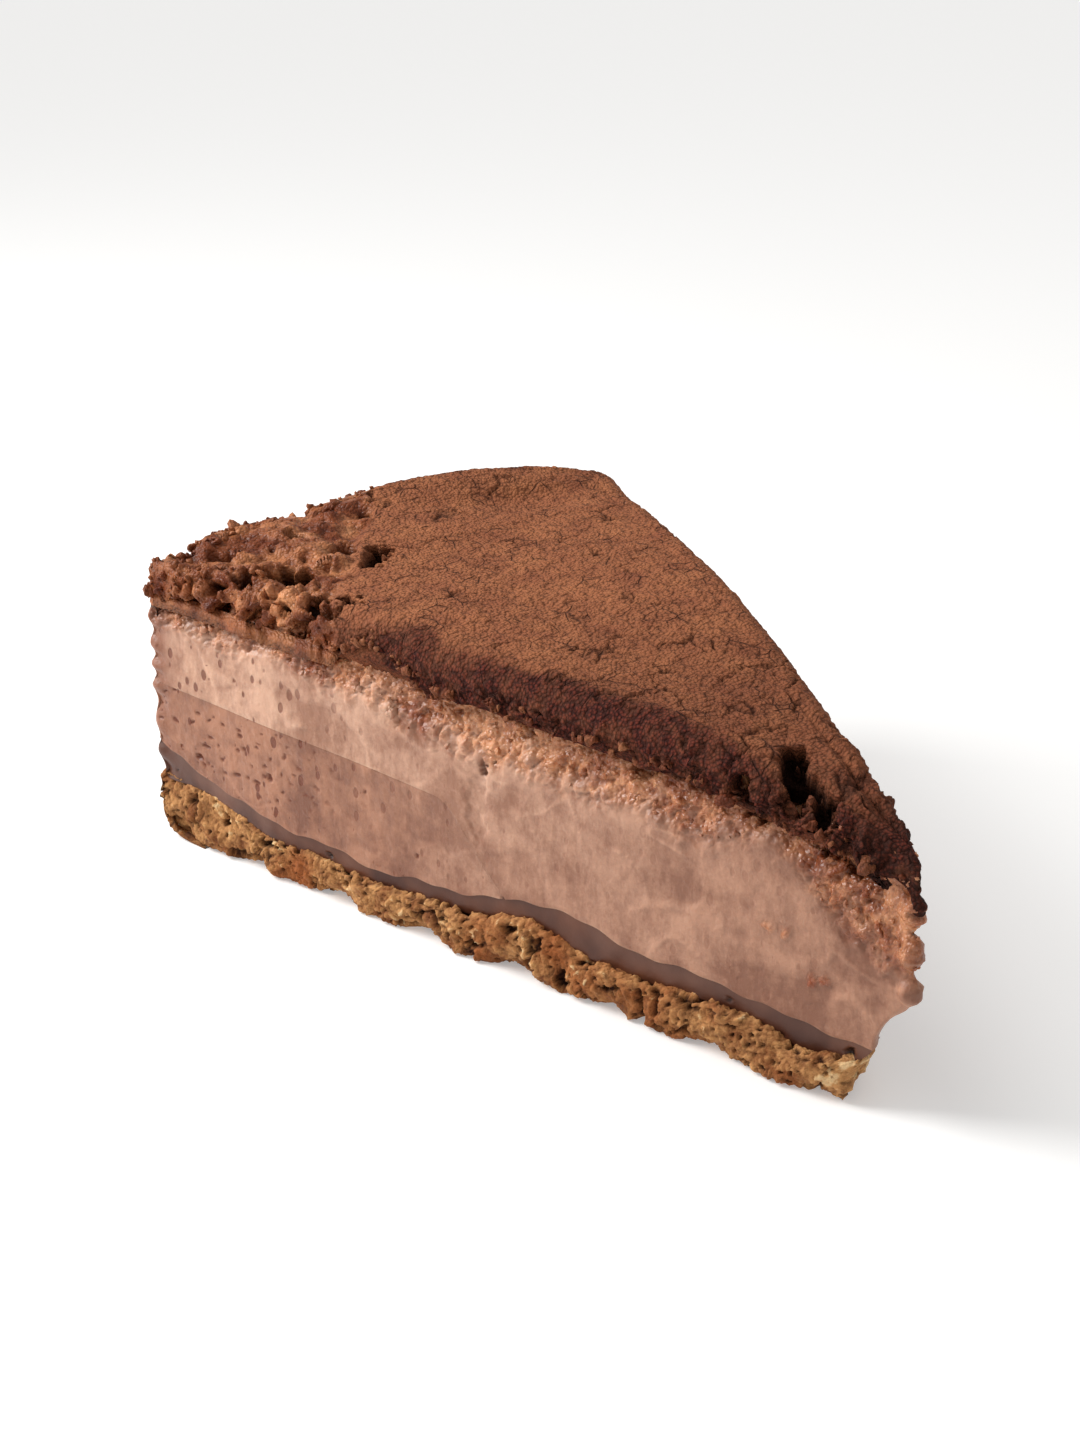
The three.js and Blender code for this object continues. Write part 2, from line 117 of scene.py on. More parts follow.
def smooth(value, low, high):
    """Smooth step: 0 below low, 1 above high, and 3t^2 - 2t^3 between them."""
    share = np.clip((value - low) / (high - low), 0, 1)
    return share * share * (3 - 2 * share)


def bell(value, centre, width):
    """A hump of height 1 at the centre that falls as the exponential of minus the square."""
    return np.exp(-(((value - centre) / width) ** 2))


def lattice(i, j, k, seed):
    """A repeatable number from 0 to 1 at a whole-numbered point: the fraction of a large sine."""
    phase = i * HASH_FACTORS[0] + j * HASH_FACTORS[1] + k * HASH_FACTORS[2] + seed * HASH_FACTORS[3]
    wave = np.sin(phase) * HASH_SCALE
    return wave - np.floor(wave)


def lumps(points, size, seed):
    """Value noise from -1 to 1 with lumps of the given size: eight lattice values blended by smooth steps."""
    scaled = points / size
    cell = np.floor(scaled)
    share = scaled - cell
    share = share * share * (3 - 2 * share)
    total = 0
    for di, dj, dk in product((0, 1), repeat=3):
        weight = np.abs(1 - di - share[..., 0]) * np.abs(1 - dj - share[..., 1])
        weight = weight * np.abs(1 - dk - share[..., 2])
        total = total + weight * lattice(cell[..., 0] + di, cell[..., 1] + dj, cell[..., 2] + dk, seed)
    return 2 * total - 1


def grain(points, size, seed):
    """Gradient noise from about -1 to 1: random slopes at the lattice points, blended by a quintic step."""
    scaled = points / size
    cell = np.floor(scaled)
    share = scaled - cell
    blend = share ** 3 * (share * (share * 6 - 15) + 10)
    total = 0
    for di, dj, dk in product((0, 1), repeat=3):
        corner = cell + (di, dj, dk)
        offset = share - (di, dj, dk)
        slope = 0
        for axis in range(3):
            value = lattice(corner[..., 0], corner[..., 1], corner[..., 2], seed + SLOPE_SEEDS * (axis + 1))
            slope = slope + (2 * value - 1) * offset[..., axis]
        weight = np.abs(1 - di - blend[..., 0]) * np.abs(1 - dj - blend[..., 1])
        total = total + slope * weight * np.abs(1 - dk - blend[..., 2])
    return GRAIN_GAIN * total


def bends(points, size, seed):
    """Three gradient noises, one for each axis, that bend a pattern when they are added to its points."""
    return np.stack([grain(points, size, seed + axis) for axis in range(3)], -1)


def cells(points, size, seed):
    """Worley noise: the distances, in cell sizes, to the nearest and second nearest of one random point
    in each lattice cell, and the nearest cell's own random number."""
    scaled = points / size
    cell = np.floor(scaled)
    farthest = 9.0
    nearest = np.full(points.shape[:-1], farthest)
    second = nearest.copy()
    tint = np.zeros(points.shape[:-1])
    for di, dj, dk in product((-1, 0, 1), repeat=3):
        i, j, k = cell[..., 0] + di, cell[..., 1] + dj, cell[..., 2] + dk
        gap = (i + lattice(i, j, k, seed) - scaled[..., 0]) ** 2
        gap += (j + lattice(i, j, k, seed + 5) - scaled[..., 1]) ** 2
        gap += (k + lattice(i, j, k, seed + 9) - scaled[..., 2]) ** 2
        closer = gap < nearest
        second = np.where(closer, nearest, np.minimum(second, gap))
        tint = np.where(closer, lattice(i, j, k, seed + 31), tint)
        nearest = np.where(closer, gap, nearest)
    return np.sqrt(nearest), np.sqrt(second), tint


def crumble(points, size, seed):
    """Crumbly height from about -0.7 to 1: knobs with sharp creases between them at three sizes, each half
    the one before, from the absolute value of gradient noise on bent coordinates."""
    bent = points + CRUMBLE_BEND * size * bends(points, 1.4 * size, seed + 1)
    total = 0
    for halving in range(CRUMBLE_SIZES):
        height = np.abs(grain(bent, size / 2 ** halving, seed + 7 * halving))
        total = total + 0.5 ** halving * (CRUMBLE_GAIN * height - CRUMBLE_LEVEL)
    return total


def place(distance, angle):
    """Plan position from the distance to the cake's centre and the angle from the slice's middle line."""
    return np.stack(np.broadcast_arrays(POINT_X - distance * np.cos(angle), -distance * np.sin(angle)), -1)


def with_height(plan, height):
    """Points in space from plan positions and their heights, or one height for them all."""
    return np.concatenate([plan, np.broadcast_to(height, plan.shape[:-1])[..., None]], -1)


def distance_from_centre(points):
    """Distance in plan to the cake's centre, where the two cuts meet."""
    return np.hypot(POINT_X - points[..., 0], points[..., 1])


def angle_from_middle(points):
    """Angle in plan from the slice's middle line, positive towards the front cut."""
    return np.arctan2(-points[..., 1], POINT_X - points[..., 0])


def base_top(distance):
    """Height of the base: a constant, a rise to the rim, two humps and two hollows."""
    humps = 1.7 * bell(distance, 45, 5) + 0.5 * bell(distance, 21, 5)
    hollows = 0.8 * bell(distance, 67, 8) + 0.8 * bell(distance, 12, 4)
    return BASE_HEIGHT + BASE_RIM_RISE * smooth(distance, 79, 94) + humps - hollows


def cut_ends(height):
    """Where the front and far cuts stop short of the centre: further back where the point has crumbled."""
    crumbled = 1 - smooth(height, 7, 13.2)
    low = 1 - smooth(height, 3, 6.5)
    front_end = CUT_END + 2.6 * crumbled + 3 * low
    back_end = CUT_END + 9.5 * crumbled + 6.5 * low
    return front_end, back_end


def miters(outline):
    """Outward direction at each point of closed outlines: the sum of the normals of the two lines that meet
    there, longer at corners."""
    before = outline - np.roll(outline, 1, axis=-2)
    after = np.roll(outline, -1, axis=-2) - outline
    first = np.stack([before[..., 1], -before[..., 0]], -1)
    second = np.stack([after[..., 1], -after[..., 0]], -1)
    first = first / np.maximum(np.linalg.norm(first, axis=-1, keepdims=True), TINY)
    second = second / np.maximum(np.linalg.norm(second, axis=-1, keepdims=True), TINY)
    turn = (first * second).sum(-1, keepdims=True)
    return (first + second) / np.maximum(0.8, 1 + turn)


def point_counts(step):
    """How many points a cut and the rim have: each one's length divided by the step, rounded down."""
    return int(CAKE_RADIUS / step), int(2 * HALF_ANGLE * CAKE_RADIUS / step)


def outlines(heights, cut_count, rim_count):
    """One closed outline of the slice for each height: along the front cut, round the point on a quadratic
    curve, back along the far cut and round the rim. Returns plan points, the station distances that set
    the layers' heights, and outward directions."""
    front_end, back_end = (end[:, None] for end in cut_ends(np.asarray(heights, float)))
    share = np.linspace(0, 1, cut_count)[None, :]
    front = place(CAKE_RADIUS + (front_end - CAKE_RADIUS) * share, HALF_ANGLE)
    back = place(CAKE_RADIUS + (back_end - CAKE_RADIUS) * share, -HALF_ANGLE)
    t = np.linspace(0, 1, NOSE_POINTS + 2)[1:-1][None, :, None]
    blunt = 0.3 * smooth(back_end - front_end, 0, 4)[..., None]
    apex = np.array([POINT_X, 0.0])
    pull = apex + blunt * (front[:, -1:] + back[:, -1:] - 2 * apex)
    nose = front[:, -1:] * (1 - t) ** 2 + 2 * t * (1 - t) * pull + back[:, -1:] * t ** 2
    angles = np.linspace(-HALF_ANGLE, HALF_ANGLE, rim_count + 2)[1:-1]
    rim = np.broadcast_to(place(np.full(rim_count, CAKE_RADIUS), angles), (len(heights), rim_count, 2))
    plan = np.concatenate([front, nose, back[:, ::-1], rim], axis=1)
    radius = np.where(plan[..., 1] > 0, FAR_CORNER, NEAR_CORNER)
    along = CAKE_RADIUS - distance_from_centre(plan)
    along = along + CAKE_RADIUS * (HALF_ANGLE - np.abs(angle_from_middle(plan)))
    near = np.maximum(0, 1 - along / radius)
    cut_points = 2 * cut_count + NOSE_POINTS
    index = np.arange(cut_points)
    paired = distance_from_centre(plan)[:, np.minimum(index, cut_points - 1 - index)]
    station = np.concatenate([paired, np.full((len(heights), rim_count), CAKE_RADIUS)], axis=1)
    rounded = plan - (CORNER_CUT * radius * near * near)[..., None] * miters(plan)
    return rounded, station, miters(plan)


def ring_faces(row_count, cut_count, rim_count, top_grid=False):
    """Faces of a closed body made of rows of outlines: quads up the side, strips between the two cuts at
    the bottom, and at the top the same strips or a grid of stations by columns."""
    ring = 2 * cut_count + NOSE_POINTS + rim_count
    cut_points = ring - rim_count
    column = np.arange(ring)
    start = (np.arange(row_count - 1) * ring)[:, None]
    a = start + column
    b = start + (column + 1) % ring
    skin = np.stack([a, b, b + ring, a + ring], -1).reshape(-1, 4).tolist()
    middle = (cut_points - 1) // 2

    def strips(first, up):
        s = np.arange(middle - 1)
        low = first + s
        high = first + cut_points - 1 - s
        made = np.stack([low, low + 1, high - 1, high], -1).tolist()
        made.append([first + middle - 1, first + middle, first + middle + 1])
        m = np.arange(cut_points, ring)
        made += np.stack([np.full_like(m, first), first + m - 1, first + m], -1).tolist()
        return made if up else [face[::-1] for face in made]

    hidden = strips(0, False)
    top = (row_count - 1) * ring
    if not top_grid:
        return skin, hidden + strips(top, True)
    columns = rim_count + 1
    grid = np.zeros((middle + 1, columns + 1), int)
    stations = np.arange(middle + 1)
    grid[:, 0] = top + stations
    grid[:, -1] = top + cut_points - 1 - stations
    grid[0, 1:-1] = top + ring - np.arange(1, columns)
    inner = row_count * ring + np.arange((middle - 1) * (columns - 1))
    grid[1:-1, 1:-1] = inner.reshape(middle - 1, columns - 1)
    grid[-1, :] = top + middle
    body = np.stack([grid[:-2, :-1], grid[1:-1, :-1], grid[1:-1, 1:], grid[:-2, 1:]], -1)
    skin += body.reshape(-1, 4).tolist()
    skin += np.stack([grid[-2, :-1], grid[-1, :-1], grid[-2, 1:]], -1).tolist()
    return skin, hidden


def skin_normals(points, faces):
    """Unit normals of the points: the sum of the cross products of the diagonals of the faces round them."""
    total = np.zeros_like(points)
    for sides in (3, 4):
        group = np.array([face for face in faces if len(face) == sides], int)
        if len(group):
            first = points[group[:, 2]] - points[group[:, 0]]
            second = points[group[:, sides - 1]] - points[group[:, 1]]
            cross = np.cross(first, second)
            for corner in range(sides):
                for axis in range(3):
                    total[:, axis] += np.bincount(group[:, corner], cross[:, axis], len(points))
    return total / np.maximum(np.linalg.norm(total, axis=1, keepdims=True), TINY)


def make_piece(name, points, faces, attributes, material):
    """Puts points in millimetres and faces into a smooth-shaded mesh object with float attributes."""
    mesh = bpy.data.meshes.new(name)
    mesh.from_pydata((points * MM).tolist(), [], faces)
    for key, values in attributes.items():
        mesh.attributes.new(key, "FLOAT", "POINT").data.foreach_set("value", values.astype(np.float32))
    mesh.shade_smooth()
    mesh.materials.append(material)
    piece = bpy.data.objects.new(name, mesh)
    bpy.context.scene.collection.objects.link(piece)
    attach(piece, "root")
    return piece


def linear(hex_colour):
    """Scene-linear colour with alpha from an sRGB hex value, by the sRGB transfer curve."""
    srgb = np.array([int(hex_colour[i:i + 2], 16) for i in (1, 3, 5)]) / 255
    low = srgb / 12.92
    high = ((srgb + 0.055) / 1.055) ** 2.4
    return (*np.where(srgb <= 0.04045, low, high), 1)


def add_node(tree, kind, inputs=(), **settings):
    """Adds a node with its settings, and sets or links its inputs, given as pairs of socket and value."""
    node = tree.nodes.new(kind)
    for key, value in settings.items():
        setattr(node, key, value)
    for socket, value in inputs:
        if isinstance(value, bpy.types.NodeSocket):
            tree.links.new(value, node.inputs[socket])
        else:
            node.inputs[socket].default_value = value
    return node


def new_material(name, settings):
    """A material with one Principled shader whose constant sockets are set. Returns the material, its tree
    and the shader."""
    material = bpy.data.materials.new(name)
    material.use_nodes = True
    tree = material.node_tree
    tree.nodes.clear()
    shader = add_node(tree, "ShaderNodeBsdfPrincipled", settings)
    add_node(tree, "ShaderNodeOutputMaterial", [("Surface", shader.outputs[0])])
    return material, tree, shader


# Socket numbers of a colour Mix node.
FACTOR, FIRST, SECOND, RESULT = 0, 6, 7, 2

# Baked biscuit crumb: matt and porous, golden or brown by the attribute "tint", which carries a painted
# highlight on raised knobs, and painted shade in dark brown in the pores, holes, seams and crack by the
# attribute "depth". Flecks of bran are about 1 mm, toasted patches 9 mm, and the grit that takes the
# shine off is half a millimetre, as coarse as it has to be to show.
BRAN_SIZE = 1.11
TOAST_SIZE = 9.09
GRIT_SIZE = 0.455
crumb_material, tree, shader = new_material(
    "baked_biscuit_crumb",
    [("Roughness", 0.75), ("IOR", 1.45), ("Specular IOR Level", 0.2), ("Subsurface Weight", 0.08),
     ("Subsurface Radius", (1.0, 0.55, 0.3)), ("Subsurface Scale", 0.8 * MM)],
)
coordinates = add_node(tree, "ShaderNodeTexCoord").outputs["Object"]
tint, depth = (
    add_node(tree, "ShaderNodeAttribute", attribute_name=name).outputs["Fac"] for name in ("tint", "depth")
)
bran, toast, grit = (
    add_node(tree, "ShaderNodeTexNoise", [
        ("Vector", coordinates), ("Scale", 1 / (size * MM)), ("Detail", detail),
    ])
    for size, detail in ((BRAN_SIZE, 4), (TOAST_SIZE, 2), (GRIT_SIZE, 3))
)
golden = add_node(tree, "ShaderNodeMix", [
    (FACTOR, tint), (FIRST, linear("#7e4a26")), (SECOND, linear("#c9945e")),
], data_type="RGBA").outputs[RESULT]
toast_share = add_node(tree, "ShaderNodeMapRange", [
    ("Value", toast.outputs[0]), ("From Min", 0.5), ("From Max", 0.68),
]).outputs[0]
toasted = add_node(tree, "ShaderNodeMix", [
    (FACTOR, toast_share), (FIRST, golden), (SECOND, linear("#96562c")),
], data_type="RGBA").outputs[RESULT]
speck_share = add_node(tree, "ShaderNodeMapRange", [
    ("Value", bran.outputs[0]), ("From Min", 0.52), ("From Max", 0.7), ("To Max", 0.75),
]).outputs[0]
speckled = add_node(tree, "ShaderNodeMix", [
    (FACTOR, speck_share), (FIRST, toasted), (SECOND, linear("#5e3519")),
], data_type="RGBA").outputs[RESULT]
cream_share = add_node(tree, "ShaderNodeMapRange", [
    ("Value", tint), ("From Min", 0.86), ("From Max", 1.0), ("To Max", 0.7),
]).outputs[0]
creamy = add_node(tree, "ShaderNodeMix", [
    (FACTOR, cream_share), (FIRST, speckled), (SECOND, linear("#e0c090")),
], data_type="RGBA").outputs[RESULT]
# Painted shade: where the attribute "depth" is high, in pores, holes, seams and the crack, the crumb goes
# dark brown.
pore_share = add_node(tree, "ShaderNodeMapRange", [("Value", depth), ("From Min", 0.15), ("From Max", 1.0)])
pore_shaded = add_node(tree, "ShaderNodeMix", [
    (FACTOR, pore_share.outputs[0]), (FIRST, creamy), (SECOND, linear("#2e1308")),
], data_type="RGBA").outputs[RESULT]
tree.links.new(pore_shaded, shader.inputs["Base Color"])
bump = add_node(tree, "ShaderNodeBump", [
    ("Height", grit.outputs[0]), ("Strength", 1.0), ("Distance", 0.35 * MM),
])
tree.links.new(bump.outputs[0], shader.inputs["Normal"])


def base_relief(points, share):
    """Millimetres out of the cut: the bulge, lumps and chips of the part's own base."""
    distance = distance_from_centre(points)
    chip = (0.5 + 0.5 * np.cos(2 * np.pi * (distance - FIRST_CHIP) / CHIP_SPACING)) ** 3
    chipped = CHIP_DEPTH * chip * (1 - smooth(share, 0, 0.5))
    lumpy = 0.45 * lumps(points, 4.2, 32) + 0.25 * lumps(points, 2.4, 33)
    bulge = BASE_BULGE * (1 - distance / CAKE_RADIUS)
    return smooth(distance, 3, 12) * (bulge + lumpy - chipped)


def base_rim_roll(points):
    """The shift in plan that rounds the rim's lower corner: towards the centre, as on a quarter circle."""
    inward = np.maximum(0, BASE_RIM_ROLL - np.minimum(points[..., 2], BASE_RIM_ROLL))
    roll = BASE_RIM_ROLL - np.sqrt(BASE_RIM_ROLL ** 2 - inward ** 2)
    roll = roll * smooth(distance_from_centre(points), CAKE_RADIUS - 7, CAKE_RADIUS - 1)
    angle = angle_from_middle(points)
    return roll[..., None] * np.stack([np.cos(angle), np.sin(angle)], -1)


def inset_limit(distance, inset):
    """An inset shortened near the point, where the slice is too narrow for it."""
    return np.minimum(inset, WIDEST_INSET * distance)


cut_count, rim_count = point_counts(BASE_STEP)
rounding = BASE_EDGE * (1 - np.sin(np.linspace(0, np.pi / 2, EDGE_ROWS)))
base_share = np.concatenate([[0], np.linspace(0, 1, SIDE_ROWS), np.ones(LEDGE_ROWS)])
base_inset = np.concatenate([
    [FOOT_INSET], rounding, np.zeros(SIDE_ROWS - 2 * EDGE_ROWS), rounding[::-1],
    np.linspace(LEDGE_NEAR, LEDGE_FAR, LEDGE_ROWS),
])
plan, station, outward = outlines(base_top(0) * base_share, cut_count, rim_count)
inset = inset_limit(station, base_inset[:, None])
solid = with_height(plan, base_share[:, None] * base_top(station))
push = base_relief(solid, base_share[:, None]) - inset
solid[..., :2] += outward * push[..., None] + base_rim_roll(solid)
skin, hidden = ring_faces(len(base_share), cut_count, rim_count)
points = solid.reshape(-1, 3)
normals = skin_normals(points, skin)
bent = points + 0.7 * grain(points, 1.7, 51)[:, None]
crumb_gap, crumb_second, crumb_tint = cells(bent, LARGE_CRUMB, 52)
_, _, small_tint = cells(bent, SMALL_CRUMB, 53)
seams = (1 - smooth(crumb_second - crumb_gap, 0.0, 0.14)) * smooth(grain(points, 4, 57), 0.0, 0.4)
knobs = crumble(points, KNOB_SIZE, 58)
holes = smooth(grain(points, HOLE_SIZE, 54) + 0.3 * grain(points, PORE_SIZE, 59), 0.36, 0.55)
pores = smooth(grain(points * (1, 1, 1.3), PORE_SIZE, 55), 0.3, 0.55)
wandering = distance_from_centre(points) + 0.5 * grain(points, 1.6, 126)
crack = bell(wandering, CRACK_PLACE, CRACK_WIDTH) * (1 - smooth(points[:, 2], 3.6, 5))
push = KNOB_RELIEF * knobs + SWELL_RELIEF * grain(points, SWELL_SIZE, 60)
push = push - SEAM_DEPTH * seams - HOLE_DEPTH * holes - PORE_DEPTH * pores - CRACK_DEPTH * crack
points = points + normals * (push * smooth(distance_from_centre(points), 1, 8))[:, None]
points[:, 2] = np.clip(points[:, 2], 0, None)
points[:solid.shape[1], 2] = 0
# How much painted shade darkens each point: in the seams, holes, pores and crack, less on raised knobs.
base_shade_depth = np.clip(0.7 * seams + 0.9 * holes + 0.75 * pores - 0.5 * knobs + crack, 0, 1)
wavy_height = points[:, 2] + 0.4 * grain(points, 1.2, 127)
cream = bell(distance_from_centre(points), CREAM_PLACE, CREAM_WIDTH) * bell(wavy_height, 2.2, 0.9)
# The tint is lighter on raised knobs, a painted highlight, and darker towards the bottom.
base_tint = 0.45 * crumb_tint + 0.25 * small_tint + 0.12 + 0.4 * grain(points, 2.4, 56) + 0.3 * knobs
base_tint = np.clip(base_tint - 0.2 * (1 - smooth(points[:, 2], 0.3, 2.5)) + cream, 0, 1)
base_shade_depth = base_shade_depth * (1 - 0.7 * cream)
crumb_base = make_piece(
    "biscuit_crumb_base", points, skin + hidden, {"tint": base_tint, "depth": base_shade_depth}, crumb_material
)
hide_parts("crumb_base")

# The ganache: a thin sheet poured over the base and set. It is smooth, a greyish brown, a little behind
# the mousse above it, and thicker towards the rim. It is tucked into the layers above and below it.
GANACHE_HEIGHT = 6.6
GANACHE_RIM_RISE = 5.4
GANACHE_RECESS = 0.2
TUCK = 0.5
PIT_SPACING = 2.8
PIT_RADIUS = 0.5
PITS_KEPT = 0.3
WAVE_SIZE, WAVE_DEPTH = 9, 0.25
PLEAT_SIZE, PLEAT_DEPTH = 4.5, 0.35
DENT_SIZE, DENT_DEPTH = 3.7, 0.35
RIPPLE_DEPTH = 0.34
RIPPLE_TURN = 1.9
SHEET_STEP = 0.3
SHEET_ROWS = 22


def ganache_top(distance):
    """Height of the ganache: a constant, a rise to the rim by a power, two humps, a hollow and waves."""
    height = GANACHE_HEIGHT + GANACHE_RIM_RISE * (np.maximum(0, distance - 76) / 24) ** 1.6
    height = height + 2.4 * bell(distance, 42, 9) + bell(distance, 24, 8) - 0.9 * bell(distance, 66, 5)
    return height + 0.25 * np.sin(0.9 * distance) * np.sin(0.37 * distance + 1)


def layer_rows(bottom, top, shares, insets, step):
    """Rows of outlines from the bottom height to the top height of a layer, moved in by the insets."""
    cut_count, rim_count = point_counts(step)
    nose_heights = bottom(0.0) + (top(0.0) - bottom(0.0)) * shares
    made, stations, directions = outlines(nose_heights, cut_count, rim_count)
    height = bottom(stations) + (top(stations) - bottom(stations)) * shares[:, None]
    made = made - directions * inset_limit(stations, insets[:, None])[..., None]
    return with_height(made, height), directions, cut_count, rim_count


# Set ganache: dense and satin, so it takes a soft shine. Its fat has bloomed to a greyish brown in clouds
# about 7 mm wide, and where the attribute "shade" is high it is moist and redder. The knife's drag is
# finer than a millimetre and is drawn at about 1.4 mm to show.
BLOOM_SIZE = 7.14
DRAG_SIZE = 1.43
ganache_material, tree, shader = new_material(
    "set_chocolate_ganache",
    [("Roughness", 0.42), ("IOR", 1.46), ("Specular IOR Level", 0.45), ("Subsurface Weight", 0.08),
     ("Subsurface Radius", (0.8, 0.4, 0.25)), ("Subsurface Scale", 0.6 * MM)],
)
coordinates = add_node(tree, "ShaderNodeTexCoord").outputs["Object"]
cloud, drag = (
    add_node(tree, "ShaderNodeTexNoise", [("Vector", coordinates), ("Scale", 1 / (size * MM)), ("Detail", 3)])
    for size in (BLOOM_SIZE, DRAG_SIZE)
)
cloud_share = add_node(tree, "ShaderNodeMapRange", [
    ("Value", cloud.outputs[0]), ("From Min", 0.38), ("From Max", 0.62),
]).outputs[0]
shade, hollow = (
    add_node(tree, "ShaderNodeAttribute", attribute_name=name).outputs["Fac"] for name in ("shade", "hollow")
)
bloomed = add_node(tree, "ShaderNodeMix", [
    (FACTOR, cloud_share), (FIRST, linear("#593628")), (SECOND, linear("#704b3b")),
], data_type="RGBA").outputs[RESULT]
moist = add_node(tree, "ShaderNodeMix", [
    (FACTOR, cloud_share), (FIRST, linear("#401d10")), (SECOND, linear("#5f3521")),
], data_type="RGBA").outputs[RESULT]
set_ganache = add_node(tree, "ShaderNodeMix", [
    (FACTOR, shade), (FIRST, bloomed), (SECOND, moist),
], data_type="RGBA").outputs[RESULT]
# Painted shade: cut bubble pits, marked in the attribute "hollow", go near black.
pit_shaded = add_node(tree, "ShaderNodeMix", [
    (FACTOR, hollow), (FIRST, set_ganache), (SECOND, linear("#2a130b")),
], data_type="RGBA").outputs[RESULT]
tree.links.new(pit_shaded, shader.inputs["Base Color"])
bump = add_node(tree, "ShaderNodeBump", [
    ("Height", drag.outputs[0]), ("Strength", 0.25), ("Distance", 0.3 * MM),
])
tree.links.new(bump.outputs[0], shader.inputs["Normal"])


def mousse_face(points):
    """Millimetres in or out of the cut for the layers above the base: broad waves of noise, and at the rim
    the pleats and dents of two more noises and the ripples of a bent sine of the height, which the baking
    paper left."""
    distance = distance_from_centre(points)
    on_rim = smooth(distance, CAKE_RADIUS - 3, CAKE_RADIUS - 0.2)
    waves = WAVE_DEPTH * lumps(points, WAVE_SIZE, 12) * (1 - smooth(points[..., 2], 25, 30))
    pleats = PLEAT_DEPTH * lumps(points * (1, 1, 1 / 6), PLEAT_SIZE, 13)
    dents = DENT_DEPTH * lumps(points, DENT_SIZE, 14)
    ripples = smooth(distance, CAKE_RADIUS - 3, CAKE_RADIUS - 0.5) * RIPPLE_DEPTH
    ripples = ripples * np.sin(RIPPLE_TURN * points[..., 2] + 2.5 * lumps(points, 6, 15))
    return waves + on_rim * (pleats + dents) + ripples


def bubbles(points, spacing, radius, share_kept, seed):
    """Cut air bubbles: half spheres about random points, each with its own radius. Returns the depth in
    millimetres and a mask from 0 to 1."""
    gap, _, tint = cells(points, spacing, seed)
    size = radius * (0.45 + 0.75 * (tint / share_kept))
    inside = np.clip(1 - (gap * spacing / size) ** 2, 0, 1) * (tint < share_kept)
    return size * np.sqrt(inside), smooth(inside, 0.0, 0.55)


shares = np.linspace(0, 1, SHEET_ROWS)
solid, outward, cut_count, rim_count = layer_rows(
    lambda d: base_top(d) - TUCK, lambda d: ganache_top(d) + TUCK, shares, np.zeros(SHEET_ROWS), SHEET_STEP
)
bent = solid + 0.5 * grain(solid, 1.2, 43)[..., None]
pit_depth, pit_mask = bubbles(bent, PIT_SPACING, PIT_RADIUS, PITS_KEPT, 44)
push = mousse_face(solid) - GANACHE_RECESS + 0.1 * lumps(solid, 7, 41) + 0.08 * grain(solid, 2, 42)
solid[..., :2] += outward * (push - pit_depth)[..., None]
skin, hidden = ring_faces(SHEET_ROWS, cut_count, rim_count)
points = solid.reshape(-1, 3)
distance = distance_from_centre(points)
shade = 0.45 + 0.55 * smooth(distance, 34, 44) - smooth(distance, 76, 88)
low_part = 1 - smooth(np.repeat(shares, solid.shape[1]) + 0.25 * grain(points, 2.2, 45), 0.15, 0.7)
shade = np.clip(shade + 0.5 * low_part + 0.2 * grain(points, 3, 46), 0, 1)
ganache = make_piece(
    "ganache_sheet", points, skin + hidden, {"shade": shade, "hollow": pit_mask.reshape(-1)}, ganache_material
)
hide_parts("ganache_layer")

# The darker mousse: set under the light one from the rim to about half way. It is full of small air
# bubbles that the knife has cut open, most of them near the rim. Bubbles are given by their spacing,
# their radius and the share of the cells that has one.
DARK_MOUSSE_HEIGHT = 17
DARK_MOUSSE_RISE = 2.2
DARK_MOUSSE_END = 48.4
DARK_MOUSSE_FULL = 57.6
LAYER_GAP = 0.3
LAYER_OVERLAP = 0.1
LARGE_BUBBLES = (1.7, 0.42, 0.55)
SMALL_BUBBLES = (0.85, 0.27, 0.6)
SPARSE_BUBBLES = (3.0, 0.3, 0.5)
THIN_END_INSET = 1.2
TOP_INSETS = (0.2, 0.5)
SMEAR_STRETCH = (0.6, 0.6, 1)
SMEAR_HEIGHT = 6.5
DARK_STEP = 0.21
DARK_ROWS = 61


def dark_mousse_top(distance):
    """Height of the darker mousse: nearly level, and fading to the ganache by a softened smooth step."""
    past_full = np.maximum(0, distance - DARK_MOUSSE_FULL)
    full = DARK_MOUSSE_HEIGHT + DARK_MOUSSE_RISE * past_full / (CAKE_RADIUS - DARK_MOUSSE_FULL)
    fade = smooth(distance, DARK_MOUSSE_END, DARK_MOUSSE_FULL) ** 0.75
    low = ganache_top(distance) + LAYER_GAP
    return low + (full - low) * fade


def smears(points):
    """Patches that the knife left, from -1 to 1: one random value for each bent cell about 11 mm wide and
    6.5 mm high, faded to 0 at the cell's border. Thin pale veins, where a noise is near 0, are added."""
    bent = points * SMEAR_STRETCH + 1.6 * grain(points, 5, 47)[:, None]
    gap, second, value = cells(bent, SMEAR_HEIGHT, 48)
    vein = (1 - smooth(np.abs(grain(bent, 5, 49)), 0, 0.09)) * smooth(grain(points, 9, 50), 0.0, 0.3)
    return (2 * value - 1) * smooth(second - gap, 0, 0.12) + 1.4 * vein


